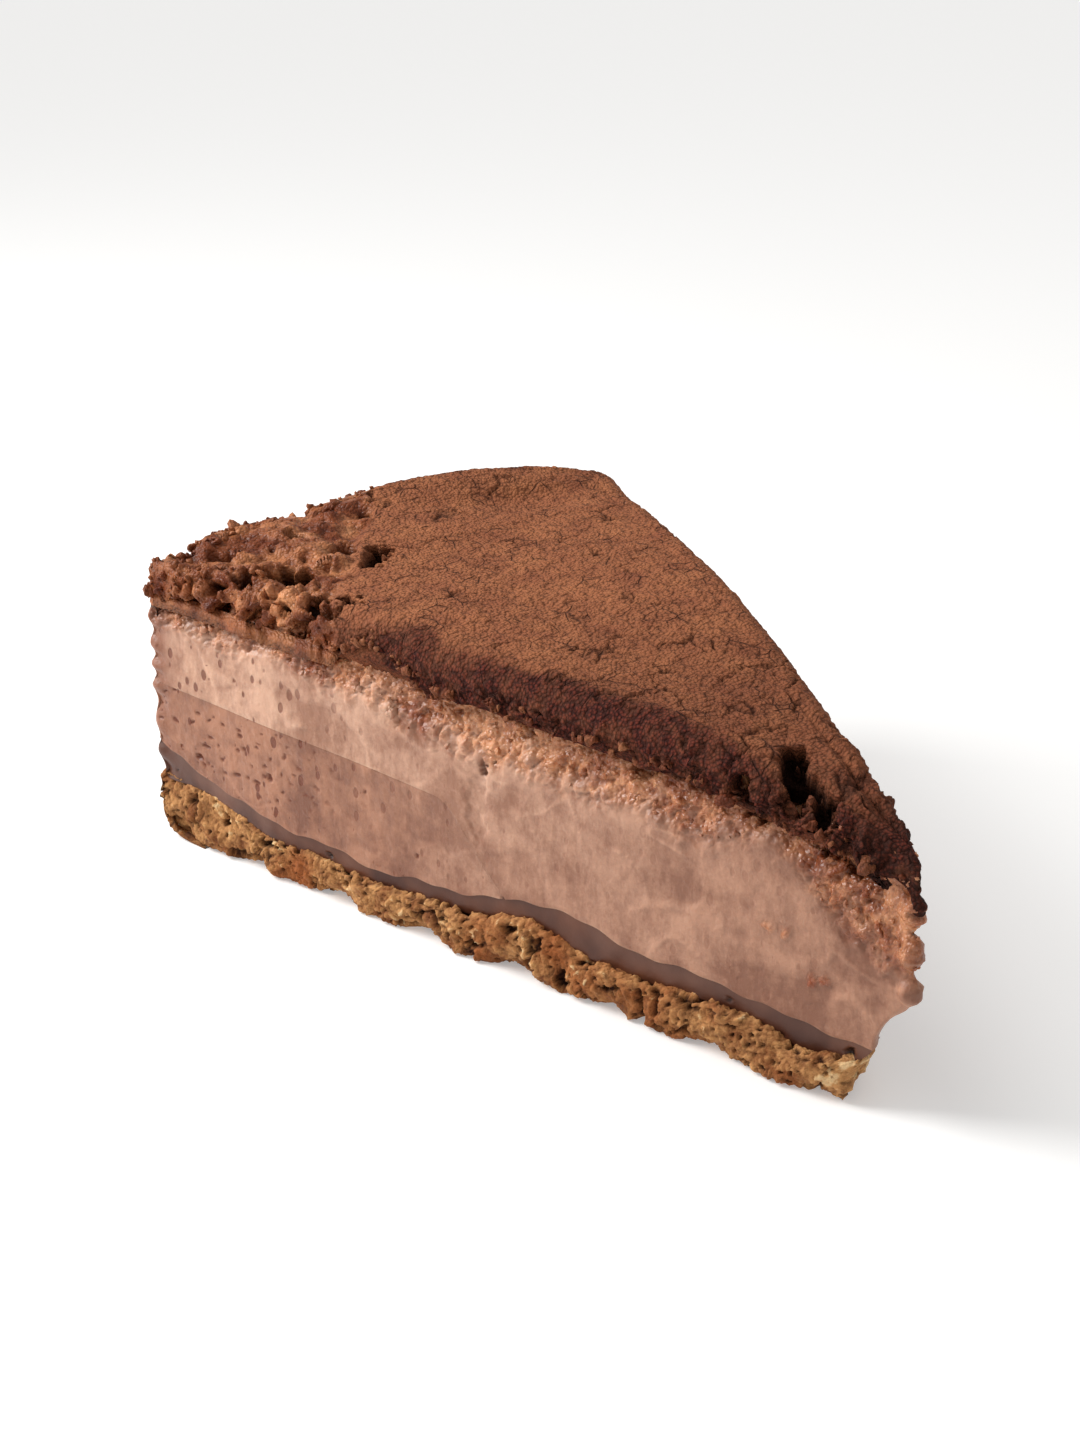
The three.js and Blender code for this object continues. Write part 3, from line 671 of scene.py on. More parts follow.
# Set mousse: satin and slightly translucent, cloudy in colour, with fine pores that are painted dark as
# their shade. The attribute "shade" turns the light mousse into the dark one and also paints some shade
# towards the point and at the rim end, "browned" is the skin that the tin left, "crumbed" is torn
# mousse, wetter and more orange, and "hollow" paints shade into cut bubbles, grooves and creases. The
# clouds are about 6 mm wide, the knife's streaks 1.4 mm wide and drawn out upwards, and the pores 1.25
# mm apart. The satin grain and the torn grain are as coarse as they have to be to show.
CLOUD_SIZE = 5.88
STREAK_SIZE = 1.43
STREAK_STRETCH = (1, 1, 0.3)
PORE_SPACING = 1.25
PORE_STRETCH = (1, 1, 0.6)
SATIN_SIZE = 0.77
TORN_GRAIN_SIZE = 0.526
mousse_material, tree, shader = new_material(
    "set_chocolate_mousse",
    [("IOR", 1.45), ("Specular IOR Level", 0.5), ("Subsurface Weight", 0.25),
     ("Subsurface Radius", (1.0, 0.6, 0.45)), ("Subsurface Scale", 0.9 * MM)],
)
coordinates = add_node(tree, "ShaderNodeTexCoord").outputs["Object"]
hollow, browned, pores, crumbed, shade, smear = (
    add_node(tree, "ShaderNodeAttribute", attribute_name=name).outputs["Fac"]
    for name in ("hollow", "browned", "pores", "crumbed", "shade", "smear")
)
streak_space, pore_space = (
    add_node(tree, "ShaderNodeMapping", [("Vector", coordinates), ("Scale", stretch)]).outputs[0]
    for stretch in (STREAK_STRETCH, PORE_STRETCH)
)
cloud = add_node(tree, "ShaderNodeTexNoise", [
    ("Vector", coordinates), ("Scale", 1 / (CLOUD_SIZE * MM)), ("Detail", 8), ("Roughness", 0.7),
]).outputs[0]
streak = add_node(tree, "ShaderNodeTexNoise", [
    ("Vector", streak_space), ("Scale", 1 / (STREAK_SIZE * MM)), ("Detail", 4), ("Roughness", 0.6),
]).outputs[0]
faint = add_node(tree, "ShaderNodeMath", [(0, streak), (1, 0.3)], operation="MULTIPLY").outputs[0]
patch = add_node(tree, "ShaderNodeMath", [(0, smear), (1, 0.1)], operation="MULTIPLY").outputs[0]
blend = add_node(tree, "ShaderNodeMath", [(0, cloud), (1, faint)], operation="ADD").outputs[0]
blend = add_node(tree, "ShaderNodeMath", [(0, blend), (1, patch)], operation="ADD").outputs[0]
cloud_share = add_node(tree, "ShaderNodeMapRange", [
    ("Value", blend), ("From Min", 0.51), ("From Max", 0.79),
]).outputs[0]
light_colour = add_node(tree, "ShaderNodeMix", [
    (FACTOR, cloud_share), (FIRST, linear("#976951")), (SECOND, linear("#c99d83")),
], data_type="RGBA").outputs[RESULT]
dark_colour = add_node(tree, "ShaderNodeMix", [
    (FACTOR, cloud_share), (FIRST, linear("#784a35")), (SECOND, linear("#a26f54")),
], data_type="RGBA").outputs[RESULT]
mixed = add_node(tree, "ShaderNodeMix", [
    (FACTOR, shade), (FIRST, light_colour), (SECOND, dark_colour),
], data_type="RGBA").outputs[RESULT]
crumb_colour = add_node(tree, "ShaderNodeMix", [
    (FACTOR, cloud_share), (FIRST, linear("#8c492a")), (SECOND, linear("#d4946a")),
], data_type="RGBA").outputs[RESULT]
body = add_node(tree, "ShaderNodeMix", [
    (FACTOR, crumbed), (FIRST, mixed), (SECOND, crumb_colour),
], data_type="RGBA").outputs[RESULT]
skin_colour = add_node(tree, "ShaderNodeMix", [
    (FACTOR, browned), (FIRST, body), (SECOND, linear("#8b5b45")),
], data_type="RGBA").outputs[RESULT]
pore = add_node(tree, "ShaderNodeTexVoronoi", [("Vector", pore_space), ("Scale", 1 / (PORE_SPACING * MM))])
pore_kept = add_node(tree, "ShaderNodeSeparateColor", [("Color", pore.outputs["Color"])]).outputs[0]
pore_size = add_node(tree, "ShaderNodeMapRange", [
    ("Value", pore_kept), ("From Min", 0.3), ("From Max", 1.0), ("To Min", 0.0), ("To Max", 0.38),
]).outputs[0]
pore_gap = add_node(tree, "ShaderNodeMath", [
    (0, pore_size), (1, pore.outputs["Distance"]),
], operation="SUBTRACT").outputs[0]
pore_dot = add_node(tree, "ShaderNodeMapRange", [
    ("Value", pore_gap), ("From Min", 0.0), ("From Max", 0.08),
]).outputs[0]
# Painted shade: the pores are dark dots, and cut bubbles, grooves and creases marked in "hollow" go dark
# brown.
pore_dark = add_node(tree, "ShaderNodeMath", [(0, pore_dot), (1, pores)], operation="MULTIPLY").outputs[0]
darkened = add_node(tree, "ShaderNodeMath", [(0, pore_dark), (1, hollow)], operation="MAXIMUM").outputs[0]
pit_shaded = add_node(tree, "ShaderNodeMix", [
    (FACTOR, darkened), (FIRST, skin_colour), (SECOND, linear("#662a0a")),
], data_type="RGBA").outputs[RESULT]
tree.links.new(pit_shaded, shader.inputs["Base Color"])
gloss = add_node(tree, "ShaderNodeMapRange", [
    ("Value", streak), ("From Min", 0.35), ("From Max", 0.65), ("To Min", 0.36), ("To Max", 0.56),
]).outputs[0]
wet = add_node(tree, "ShaderNodeMath", [(0, crumbed), (1, 0.14)], operation="MULTIPLY").outputs[0]
gloss = add_node(tree, "ShaderNodeMath", [(0, gloss), (1, wet)], operation="SUBTRACT").outputs[0]
tree.links.new(gloss, shader.inputs["Roughness"])
fine = add_node(tree, "ShaderNodeTexNoise", [
    ("Vector", coordinates), ("Scale", 1 / (SATIN_SIZE * MM)), ("Detail", 4),
])
height = add_node(tree, "ShaderNodeMath", [(0, fine.outputs[0]), (1, streak)], operation="ADD").outputs[0]
height = add_node(tree, "ShaderNodeMath", [(0, height), (1, pore_dark)], operation="SUBTRACT").outputs[0]
grains = add_node(tree, "ShaderNodeTexVoronoi", [
    ("Vector", coordinates), ("Scale", 1 / (TORN_GRAIN_SIZE * MM)),
]).outputs["Distance"]
torn_grain = add_node(tree, "ShaderNodeMath", [(0, grains), (1, crumbed)], operation="MULTIPLY").outputs[0]
torn_grain = add_node(tree, "ShaderNodeMath", [(0, torn_grain), (1, 2.5)], operation="MULTIPLY").outputs[0]
height = add_node(tree, "ShaderNodeMath", [(0, height), (1, torn_grain)], operation="SUBTRACT").outputs[0]
bump = add_node(tree, "ShaderNodeBump", [("Height", height), ("Strength", 0.5), ("Distance", 0.3 * MM)])
tree.links.new(bump.outputs[0], shader.inputs["Normal"])

shares = np.concatenate([[0, 0.001], np.linspace(0, 1, DARK_ROWS - 1)[1:]])
insets = np.concatenate([np.zeros(DARK_ROWS - len(TOP_INSETS)), TOP_INSETS])
solid, outward, cut_count, rim_count = layer_rows(
    lambda d: ganache_top(d) - LAYER_OVERLAP, lambda d: dark_mousse_top(d) + LAYER_GAP,
    shares, insets, DARK_STEP,
)
solid[..., :2] += outward * mousse_face(solid)[..., None]
skin, hidden = ring_faces(len(shares), cut_count, rim_count)
points = solid.reshape(-1, 3)
normals = skin_normals(points, skin)
distance = distance_from_centre(points)
near_rim = smooth(distance + 5 * grain(points, 7, 60), 60, 84)
cut_face = 1 - smooth(distance, CAKE_RADIUS - 0.6, CAKE_RADIUS - 0.2)
along = np.stack([0.62 * distance, angle_from_middle(points) * 30, points[:, 2]], -1)
along = along + 0.4 * grain(points, 1.5, 64)[:, None]
large_depth, large_mask = bubbles(along, *LARGE_BUBBLES, 61)
small_depth, small_mask = bubbles(along, *SMALL_BUBBLES, 62)
sparse_depth, sparse_mask = bubbles(points, *SPARSE_BUBBLES, 65)
# Painted shade inside the cut bubbles: their masks make "hollow".
hollow = np.maximum(large_mask * near_rim, small_mask * near_rim)
hollow = np.maximum(hollow, sparse_mask * smooth(distance, 50, 56)) * (0.3 + 0.65 * cut_face)
push = -cut_face * (near_rim * (0.7 * large_depth + 0.6 * small_depth) + 0.6 * sparse_depth)
push += 0.05 * grain(points, 1.2, 63) - 0.02
points = points + normals * (push * smooth(distance, 49, 56))[:, None]
thin_end = inset_limit(distance, THIN_END_INSET) * (1 - smooth(distance, 47.8, 49))
points[:, :2] -= outward.reshape(-1, 2) * thin_end[:, None]
browned = 0.9 * smooth(distance + 1.2 * grain(points, 2, 66), CAKE_RADIUS - 4.5, CAKE_RADIUS - 0.8)
pale_end = 1 - smooth(distance + 4 * lumps(points, 6, 67), 48, 66)
# A little darker towards the rim: painted shade against the stronger light of the lamp near the rim end.
shade = 0.9 + 0.1 * smooth(distance, 62, 86) - 0.75 * pale_end
dark_mousse = make_piece(
    "dark_mousse_body", points, skin + hidden,
    {"hollow": hollow, "browned": browned, "shade": shade, "smear": smears(points),
     "pores": 0.4 + 0.5 * near_rim, "crumbed": np.zeros(len(points))},
    mousse_material,
)
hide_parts("dark_mousse")

# The light mousse: smooth where the knife ran through it, and torn above, where it came away with the
# crust. Its top follows the crust's rolled edges a little way in and lies under them, in rows given as
# shares of the edge's reach.
LIGHT_STEP = 0.25
SMOOTH_ROWS = 40
TORN_ROWS = 38
ROLL_SHARES = np.array([0.01, 0.04, 0.1, 0.2, 0.35, 0.55, 0.56])
FOOT_TUCK = 0.12
CROWN_HEIGHT = 34.6
POINT_FALL = 9.6
POINT_FALL_LENGTH = 17.0
POINT_FALL_POWER = 0.75
FRONT_ROLL = 3.4
BACK_ROLL = 2.2
RIM_ROLL = 2.6
EDGE_REACH = 4.6
SKIN_DIVE = 2.6
THINNEST_SKIN = 2.6
TORN_HEIGHT = 21.2
TORN_RECESS = 0.6
TORN_KNOB_SIZE, TORN_KNOB_RELIEF = 1.7, 0.42
TORN_LUMP_SIZE, TORN_LUMP_RELIEF = 3.2, 0.35
TORN_GRIT_SIZE, TORN_GRIT_RELIEF = 0.8, 0.12
TEAR_SIZE = 2.4
CRAG_DIVE = 2.2
CORNER_DIVE = 2.5
CUT_BUBBLES = (3.4, 0.27, 0.35)
RIM_BUBBLES = (1.4, 0.24, 0.4)


def crown_height(plan):
    """Height of the baked top without its rolled edges: it falls towards the point, and is highest on
    the far side and along a lip on the rim."""
    distance = distance_from_centre(plan)
    degrees = np.degrees(angle_from_middle(plan))
    fall = POINT_FALL * np.exp(-((distance / POINT_FALL_LENGTH) ** POINT_FALL_POWER))
    far_share = smooth(-degrees, -6, 16)
    crown = (-0.2 + 1.3 * far_share) * bell(distance, 50, 24)
    far_corner = 0.9 * smooth(distance, 74, 92) * smooth(-degrees, 12, 18)
    far_lip = 1.6 * smooth(distance, 90, 97) * bell(degrees, -6, 8)
    fold = 0.7 * smooth(distance, 84, 88) * (1 - smooth(distance, 91, 94)) * bell(degrees, -10, 4)
    level = with_height(plan[..., :2], 0)
    return CROWN_HEIGHT - fall + crown - far_corner + far_lip - fold + 0.3 * lumps(level, 13, 7)


def edge_gaps(plan):
    """Millimetres from a plan position to the front cut, the far cut and the rim, measured along the arc
    and the radius, and shortened at the rounded corners."""
    distance = distance_from_centre(plan)
    angle = angle_from_middle(plan)
    gaps = [distance * (HALF_ANGLE - angle), distance * (HALF_ANGLE + angle), CAKE_RADIUS - distance]
    radius = np.where(plan[..., 1] > 0, FAR_CORNER, NEAR_CORNER)
    near = np.maximum(0, 1 - (np.minimum(gaps[0], gaps[1]) + gaps[2]) / radius)
    return [gap - CORNER_CUT * radius * near * near for gap in gaps]


def top_height(plan):
    """Height of the baked top: the crown less the drops of its three quarter-round edges, joined as the
    root of the sum of their squares. Each edge's radius is at most 0.4 of the slice's width."""
    width = 2 * HALF_ANGLE * distance_from_centre(plan)
    drop = 0
    for gap, radius in zip(edge_gaps(plan), (FRONT_ROLL, BACK_ROLL, RIM_ROLL)):
        radius = np.minimum(radius, 0.4 * width)
        inward = np.clip(radius - gap, 0, radius)
        drop = drop + (radius - np.sqrt(radius * radius - inward * inward)) ** 2
    return crown_height(plan) - np.sqrt(drop)


def rolled_edge(outer, cut_count, shares):
    """Rows of points over the rolled edge: each outline point moved in by the given shares of the edge's
    reach, at the height of the baked top. Near the point it goes half of the way to the middle line."""
    cut_points = 2 * cut_count + NOSE_POINTS
    distance = distance_from_centre(outer)
    angle = angle_from_middle(outer)
    turn = np.minimum(EDGE_REACH / np.maximum(distance, 0.1), 0.5 * HALF_ANGLE)
    inner_angle = np.where(np.abs(angle) > HALF_ANGLE - 0.02, angle - np.sign(angle) * turn, 0.5 * angle)
    inner_distance = distance - EDGE_REACH * (distance / CAKE_RADIUS) ** 12
    inner_angle[cut_points:] = angle[cut_points:] * (1 - EDGE_REACH / (CAKE_RADIUS * HALF_ANGLE))
    inner_distance[cut_points:] = CAKE_RADIUS - EDGE_REACH
    nose = slice(cut_count, cut_count + NOSE_POINTS)
    inner_distance[nose] += 0.25 * np.cos(angle[nose] / HALF_ANGLE * np.pi / 2)
    plan = outer + (place(inner_distance, inner_angle) - outer) * shares[:, None, None]
    return with_height(plan, top_height(plan))


def rolled_directions(outer, shares):
    """Outward directions of the rows over the rolled edge: from level to upright as on a quarter circle."""
    level = np.clip(1 - shares * EDGE_REACH / RIM_ROLL, 0, 1)[:, None, None]
    upright = np.broadcast_to(np.sqrt(1 - level * level), (len(shares), len(outer), 1))
    return np.concatenate([miters(outer) * level, upright], -1)


def torn_limit(points):
    """Height where the torn part of the cut begins: a constant with smooth steps that raise it to the rim
    and drop it at the point, a hump, and waves of two noises."""
    distance = distance_from_centre(points)
    level = points * (1, 1, 0)
    limit = TORN_HEIGHT + 5.4 * smooth(distance, 50, 83) - 1.6 * smooth(distance, 64, 76)
    limit = limit + 1.2 * smooth(distance, 90, 98) + 2 * bell(distance, 18, 4)
    limit = limit - 9 * (1 - smooth(distance, 1, 16))
    return limit + 1.2 * lumps(level, 7, 74) + 0.4 * grain(level, 2.6, 75)


def skin_edge(points):
    """Height on the cut where the baked skin ends and the torn mousse begins: the crown's less a depth that
    smooth steps make smaller at the point and past the middle, made ragged by three noises."""
    distance = distance_from_centre(points)
    level = points * (1, 1, 0)
    below = 5.3 - 1.1 * (1 - smooth(distance, 12, 20)) - 1.9 * smooth(distance, 56, 66)
    below = below + 0.9 * smooth(distance, 70, 80)
    ragged = 0.8 * lumps(level, 6, 111) + 0.9 * grain(level, 2.4, 112) + 0.4 * grain(level, 0.9, 113)
    ragged = ragged * (1 + 1.3 * smooth(distance, 64, 76))
    return crown_height(points) - np.maximum(below + ragged, THINNEST_SKIN)


def on_top(distance, degrees, height):
    """A point on the top from its distance to the centre, its angle and its height."""
    return np.array([*place(distance, np.radians(degrees)), height])


def on_front(distance, height):
    """A point on the front cut from its distance to the centre and its height."""
    return np.array([*place(distance, HALF_ANGLE), height])


# Broken places: two ends of a groove, its radius, and how far it is pushed in, as a vector.
INTO_TOP = np.array([-0.45, 0.4, -0.8])
INTO_CUT = np.array([-0.5, 0.8, -0.33])
CAVITIES = [
    (on_top(75.6, 16.4, 32.7), on_top(71.5, 15.4, 33), 1.0, 2.4 * INTO_TOP),
    (on_top(85, 16, 32), on_top(81.5, 14.4, 33), 1.6, 3.6 * INTO_TOP),
    (on_top(79, 8.8, 33), on_top(81.6, 6.6, 33.5), 1.5, 3.2 * INTO_TOP),
    (on_front(20, 29), on_front(18.8, 26.6), 0.9, 3.4 * INTO_CUT),
    (on_top(18, 4.5, 30.6), on_top(14.8, 12, 29.2), 1.3, 4 * INTO_TOP),
    (on_top(15.4, 11, 29.6), on_top(11, 12.5, 28.4), 1.3, 3.6 * INTO_TOP),
    (on_front(11, 24.9), on_front(6.9, 24.2), 0.6, 1.4 * INTO_CUT),
    (on_front(83.6, 29.2), on_front(83.9, 26.6), 0.6, 0.7 * INTO_CUT),
    (on_front(50.8, 21.9), on_front(50.8, 22), 0.6, 0.9 * INTO_CUT),
    (on_front(51.9, 19), on_front(51.9, 15.5), 1.5, 0.25 * INTO_CUT),
]
# Knobs that stand out: place, radius and height.
KNOBS = [
    (on_top(0.9, 0, 21.6), 2, 0.9),
    (on_top(0.9, 0, 17.7), 2, 1),
    (on_top(0.9, 0, 13.6), 1.7, 0.9),
    (on_front(9.4, 25.9), 2, 0.9),
    (on_front(5.7, 21.2), 1.5, 0.6),
    (on_top(82.5, 10.5, 33.5), 2.6, 1.2),
    (on_top(99, 11, 32.5), 2.6, 0.6),
]


def broken_places(points, normals):
    """The shift of each point in millimetres. A groove pushes what lies near its line, and what lies behind
    that, along its vector. A knob pushes out along the normal. The lines are bent by noise. Also returns
    how much painted shade darkens each point inside a groove."""
    shift = np.zeros_like(points)
    dark = np.zeros(len(points))
    bent = points + bends(points, 1.7, 71) + 0.4 * grain(points, 0.8, 76)[:, None]
    for start, end, radius, pushed in CAVITIES:
        line = end - start
        deep = np.linalg.norm(pushed)
        share = np.clip(((bent - start) @ line) / (line @ line), 0, 1)
        offset = bent - start - share[:, None] * line
        behind = np.clip(offset @ pushed / deep, 0, 3)
        gap = np.linalg.norm(offset - behind[:, None] * pushed / deep, axis=1)
        reach = 1 - smooth(gap, 0.6 * radius, 1.3 * radius)
        shift += reach[:, None] * pushed
        dark = np.maximum(dark, smooth(reach, 0, 0.7) * min(1, deep / 2.2))
    for centre, radius, high in KNOBS:
        near = 1 - smooth(np.linalg.norm(points - centre, axis=1), 0.3 * radius, radius)
        shift += normals * (high * near)[:, None]
    return shift, dark


def mousse_shade(points):
    """How dark the light mousse is, from 0 to 1: low down where the darker mousse runs out, and gradually
    more towards the point, which is partly the mousse's browner colour and partly painted shade for the
    light falling off there."""
    distance = distance_from_centre(points)
    low = (1 - smooth(points[:, 2] + 2 * lumps(points, 6, 83), 12, 18)) * (1 - smooth(distance, 58, 68))
    point = 0.7 * (1 - smooth(distance + 3 * lumps(points, 8, 84), 5, 70))
    return np.maximum(0.5 * low, point)


# Bits of orange crumb that the knife dragged into the face: place and radius.
CRUMB_SPOTS = [
    (on_front(16.4, 15.3), 0.7),
    (on_front(14.4, 15.4), 0.6),
    (on_front(11.3, 11.4), 0.8),
    (on_front(9.8, 11.9), 0.6),
]


def crumb_spots(points):
    """How much of a dragged crumb each point shows, from 0 to 1: balls about the spots with ragged edges."""
    bent = points + 0.5 * grain(points, 0.9, 125)[:, None]
    share = np.zeros(len(points))
    for centre, radius in CRUMB_SPOTS:
        gap = np.linalg.norm(bent - centre, axis=1)
        share = np.maximum(share, 1 - smooth(gap, 0.5 * radius, 1.2 * radius))
    return share


def light_mousse_bottom(distance):
    """The light mousse rests on the darker mousse, and beyond its end on the ganache."""
    under = np.where(distance < DARK_MOUSSE_END, ganache_top(distance), dark_mousse_top(distance))
    return under - LAYER_OVERLAP


# The line along which the top broke off, from the rim to the front cut.
BREAK_AT_RIM = on_top(99.6, -1.3, 0)
BREAK_AT_CUT = on_top(71, 18, 0)


def crag_share(points):
    """How far a point lies inside the broken corner, from 0 to 1: its wavy distance past a straight line
    from the rim to the front cut, faded out low on the cut."""
    along = (BREAK_AT_CUT - BREAK_AT_RIM)[:2]
    along = along / np.linalg.norm(along)
    offset = points[:, :2] - BREAK_AT_RIM[:2]
    inside = along[1] * offset[:, 0] - along[0] * offset[:, 1]
    wavy = inside + 1.4 * lumps(points, 6, 3) + 0.8 * grain(points, 2, 4)
    return smooth(wavy, -0.4, 1.6) * smooth(points[:, 2], 26.5, 29.5)


cut_count, rim_count = point_counts(LIGHT_STEP)
outer = outlines([CROWN_HEIGHT], cut_count, rim_count)[0][0]
roll = rolled_edge(outer, cut_count, ROLL_SHARES)
edge = top_height(outer)
limit = torn_limit(with_height(outer, edge))
middle = cut_count + NOSE_POINTS // 2
smooth_share = np.concatenate([[0, 0.001], np.linspace(0, 1, SMOOTH_ROWS)[1:-1]])
torn_share = np.linspace(0, 1, TORN_ROWS)
nose_low = light_mousse_bottom(0.0)
nose_heights = np.concatenate([
    nose_low + (limit[middle] - nose_low) * smooth_share,
    limit[middle] + (edge[middle] - limit[middle]) * torn_share,
])
plan, station, outward = outlines(nose_heights, cut_count, rim_count)
low = light_mousse_bottom(station[:SMOOTH_ROWS])
height = np.concatenate([
    low + (limit - low) * smooth_share[:, None], limit + (edge - limit) * torn_share[:, None],
])
side = with_height(plan, height)
foot_inset = np.concatenate([[FOOT_TUCK, FOOT_TUCK], np.zeros(len(side) - 2)])
tucked = inset_limit(station, foot_inset[:, None]) * (1 - smooth(station, 42, 47))
side[..., :2] += outward * (mousse_face(side) * smooth(station, 1, 9) - tucked)[..., None]
roll[-1, :, 2] -= 0.5 + 3 * np.maximum(1 - smooth(distance_from_centre(outer), 20, 30), crag_share(roll[-2]))
grid = np.concatenate([side, roll])
skin, hidden = ring_faces(len(grid), cut_count, rim_count)
points = grid.reshape(-1, 3)
normals = np.concatenate([with_height(outward, 0), rolled_directions(outer, ROLL_SHARES)]).reshape(-1, 3)
distance = distance_from_centre(points)
on_rim = smooth(distance, CAKE_RADIUS - 0.9, CAKE_RADIUS - 0.3)
above = points[:, 2] - torn_limit(points)
torn_height = np.maximum(skin_edge(points) - torn_limit(points), 1)
torn_part = above / torn_height
torn = (1 - on_rim) * smooth(above + 0.8 * grain(points, 2, 115), -0.6, 2.4)
knobs = crumble(points, TORN_KNOB_SIZE, 114) + 0.45 * crumble(points, TORN_GRIT_SIZE, 124)
tears = smooth(grain(points * (1, 1, 1.7), TEAR_SIZE, 118), 0.16, 0.42) * smooth(torn_part, 0.35, 0.9) * torn
slim = smooth(distance, 1, 8)
dive = inset_limit(distance, SKIN_DIVE)
rim_dive = np.where(on_rim > 0.5, smooth(torn_part, 0.7, 1.0), 1)
push = -TORN_RECESS * dive * smooth(torn_part, 0.1, 1.0) * rim_dive
push -= CRAG_DIVE * crag_share(points) * smooth(points[:, 2], 29.5, 31.5)
torn_push = TORN_KNOB_RELIEF * knobs + TORN_LUMP_RELIEF * lumps(points, TORN_LUMP_SIZE, 11)
torn_push = torn_push + TORN_GRIT_RELIEF * grain(points, TORN_GRIT_SIZE, 119)
push += (0.5 + 0.5 * slim) * torn * (torn_push - tears)
large_depth, large_mask = bubbles(points + 0.3 * grain(points, 0.8, 128)[:, None], *CUT_BUBBLES, 79)
near_rim = smooth(distance + 5 * grain(points, 7, 60), 62, 86) * (1 - on_rim)
small_depth, small_mask = bubbles(points + 0.2 * grain(points, 0.8, 129)[:, None], *RIM_BUBBLES, 80)
smear = smears(points)
push -= slim * (1 - torn) * (0.6 * large_depth + 0.5 * near_rim * small_depth)
foot = smooth(np.repeat(np.arange(len(grid)), grid.shape[1]), 1, 6)
push += foot * slim * (1 - torn) * (1 - on_rim) * (0.05 * grain(points, 1.3, 81) + 0.08 * smear)
points = points + normals * push[:, None]
shift, dark = broken_places(points, normals)
points = points + shift
# Painted shade inside cut bubbles; grooves and torn creases are added to it below.
hollow = np.maximum(large_mask, near_rim * small_mask) * (1 - torn) * 0.9
points = points + normals * (0.25 * crumb_spots(points))[:, None]
at_corner = smooth(distance, CAKE_RADIUS - 9, CAKE_RADIUS - 3)
at_corner = at_corner * smooth(np.abs(angle_from_middle(points)), 0.22, 0.28)
points[:, 2] -= CORNER_DIVE * at_corner * smooth(torn_part, 0.7, 1.05)
creases = torn * np.clip(0.8 * tears - 0.5 * knobs - 0.12, 0, 1) * smooth(torn_part, -0.1, 0.4)
browned = smooth(distance + 1.4 * grain(points, 3, 82), CAKE_RADIUS - 4.5, CAKE_RADIUS - 1.5)
crumbed = torn * smooth(torn_part + 0.45 * grain(points, 1.8, 117) + 0.2 * grain(points, 5, 116), 0.0, 0.62)
crumbed = np.maximum(crumbed, crumb_spots(points))

# The mousse's own points, kept for the loose crumbs that lie on it.
light_points, light_normals, light_torn = points, normals, torn * smooth(torn_part, 0.05, 0.3)
light_attributes = {
    "hollow": np.maximum(hollow, np.maximum(dark, creases)), "browned": browned,
    "shade": mousse_shade(points), "smear": smear, "crumbed": crumbed,
    "pores": 0.2 + 0.6 * near_rim * (1 - torn),
}
light_mousse = make_piece("light_mousse_body", points, skin + hidden, light_attributes, mousse_material)
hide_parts("light_mousse")

# The crust: the baked top of the mousse, dusted with cocoa and broken off at the near corner of the rim.
# This piece is the sheet itself. Its border dips under the rolled edge that follows, in rows given by
# how far they are set in and how far they drop.
CRUST_STEP = 0.27
CRUST_COLUMNS = 228
BORDER_ROWS = ((2.4, 3.2), (1.2, 2.4), (0.4, 1.2), (0, 0))
SKIN_GRAIN = 1.1
FISSURE_CELL, FISSURE_DEPTH = 4.4, 0.4
CRAG_LUMP, CRAG_LUMP_RELIEF = 5.2, 1.2
CRAG_SMALL_LUMP, CRAG_SMALL_LUMP_RELIEF = 2.7, 0.9
CRAG_KNOB, CRAG_KNOB_RELIEF = 2.8, 0.4
CRAG_GRIT, CRAG_GRIT_RELIEF = 1.1, 0.08
CRAG_HOLE, CRAG_HOLE_DEPTH = 3.2, 2.1
CRAG_SINK = 0.5
CRAG_DEEPEST = 3


def crag_relief(points):
    """Millimetres in or out in the broken corner: the lumps of the solid, crumbs and deep holes. Also
    returns how much painted shade darkens each point in a hole or crease."""
    knobs = crumble(points, CRAG_KNOB, 21)
    grit = crumble(points, CRAG_GRIT, 26)
    holes = smooth(grain(points, CRAG_HOLE, 24) + 0.35 * grain(points, CRAG_GRIT, 25), 0.2, 0.46)
    push = CRAG_LUMP_RELIEF * lumps(points, CRAG_LUMP, 21)
    push = push + CRAG_SMALL_LUMP_RELIEF * lumps(points, CRAG_SMALL_LUMP, 22) - CRAG_SINK
    push = push + CRAG_KNOB_RELIEF * knobs + CRAG_GRIT_RELIEF * grit - CRAG_HOLE_DEPTH * holes
    highest = 0.8 - 0.8 * smooth(distance_from_centre(points), 92, 98)
    dark = np.clip(1.2 * holes - 0.5 * knobs - 0.3 * grit - 0.06, 0, 1)
    return np.clip(push, -CRAG_DEEPEST, highest), dark


# Cocoa-dusted crust: dry and matt. The cocoa lies in clouds 5 mm wide and has drawn together in clumps
# of about 1 mm. Its grains are finer than they are drawn here, about 0.4 mm wide, so that they show.
# Hairline cracks run between cells of 2.4 mm, in patches; they and the crevices between grains are
# painted dark as their shade, and the attribute "hollow" paints shade into holes, fissures and grooves.
# Charred parts are a dark reddish brown, by the attribute named for them, which towards the point also
# paints a little shade. Where it is "broken" it shows moist tan and brown crumb, paler with "tint".
DUST_SIZE = 5.0
CLUMP_SIZE = 1.05
GRAIN_SIZE = 0.37
CRACK_CELL = 2.38
CRACK_PATCH = 4.35
WARP_SIZE = 2.38
WARP_REACH = 0.6
crust_material, tree, shader = new_material(
    "cocoa_dusted_crust",
    [("IOR", 1.45), ("Specular IOR Level", 0.2), ("Subsurface Weight", 0.04),
     ("Subsurface Radius", (0.8, 0.4, 0.25)), ("Subsurface Scale", 0.6 * MM)],
)
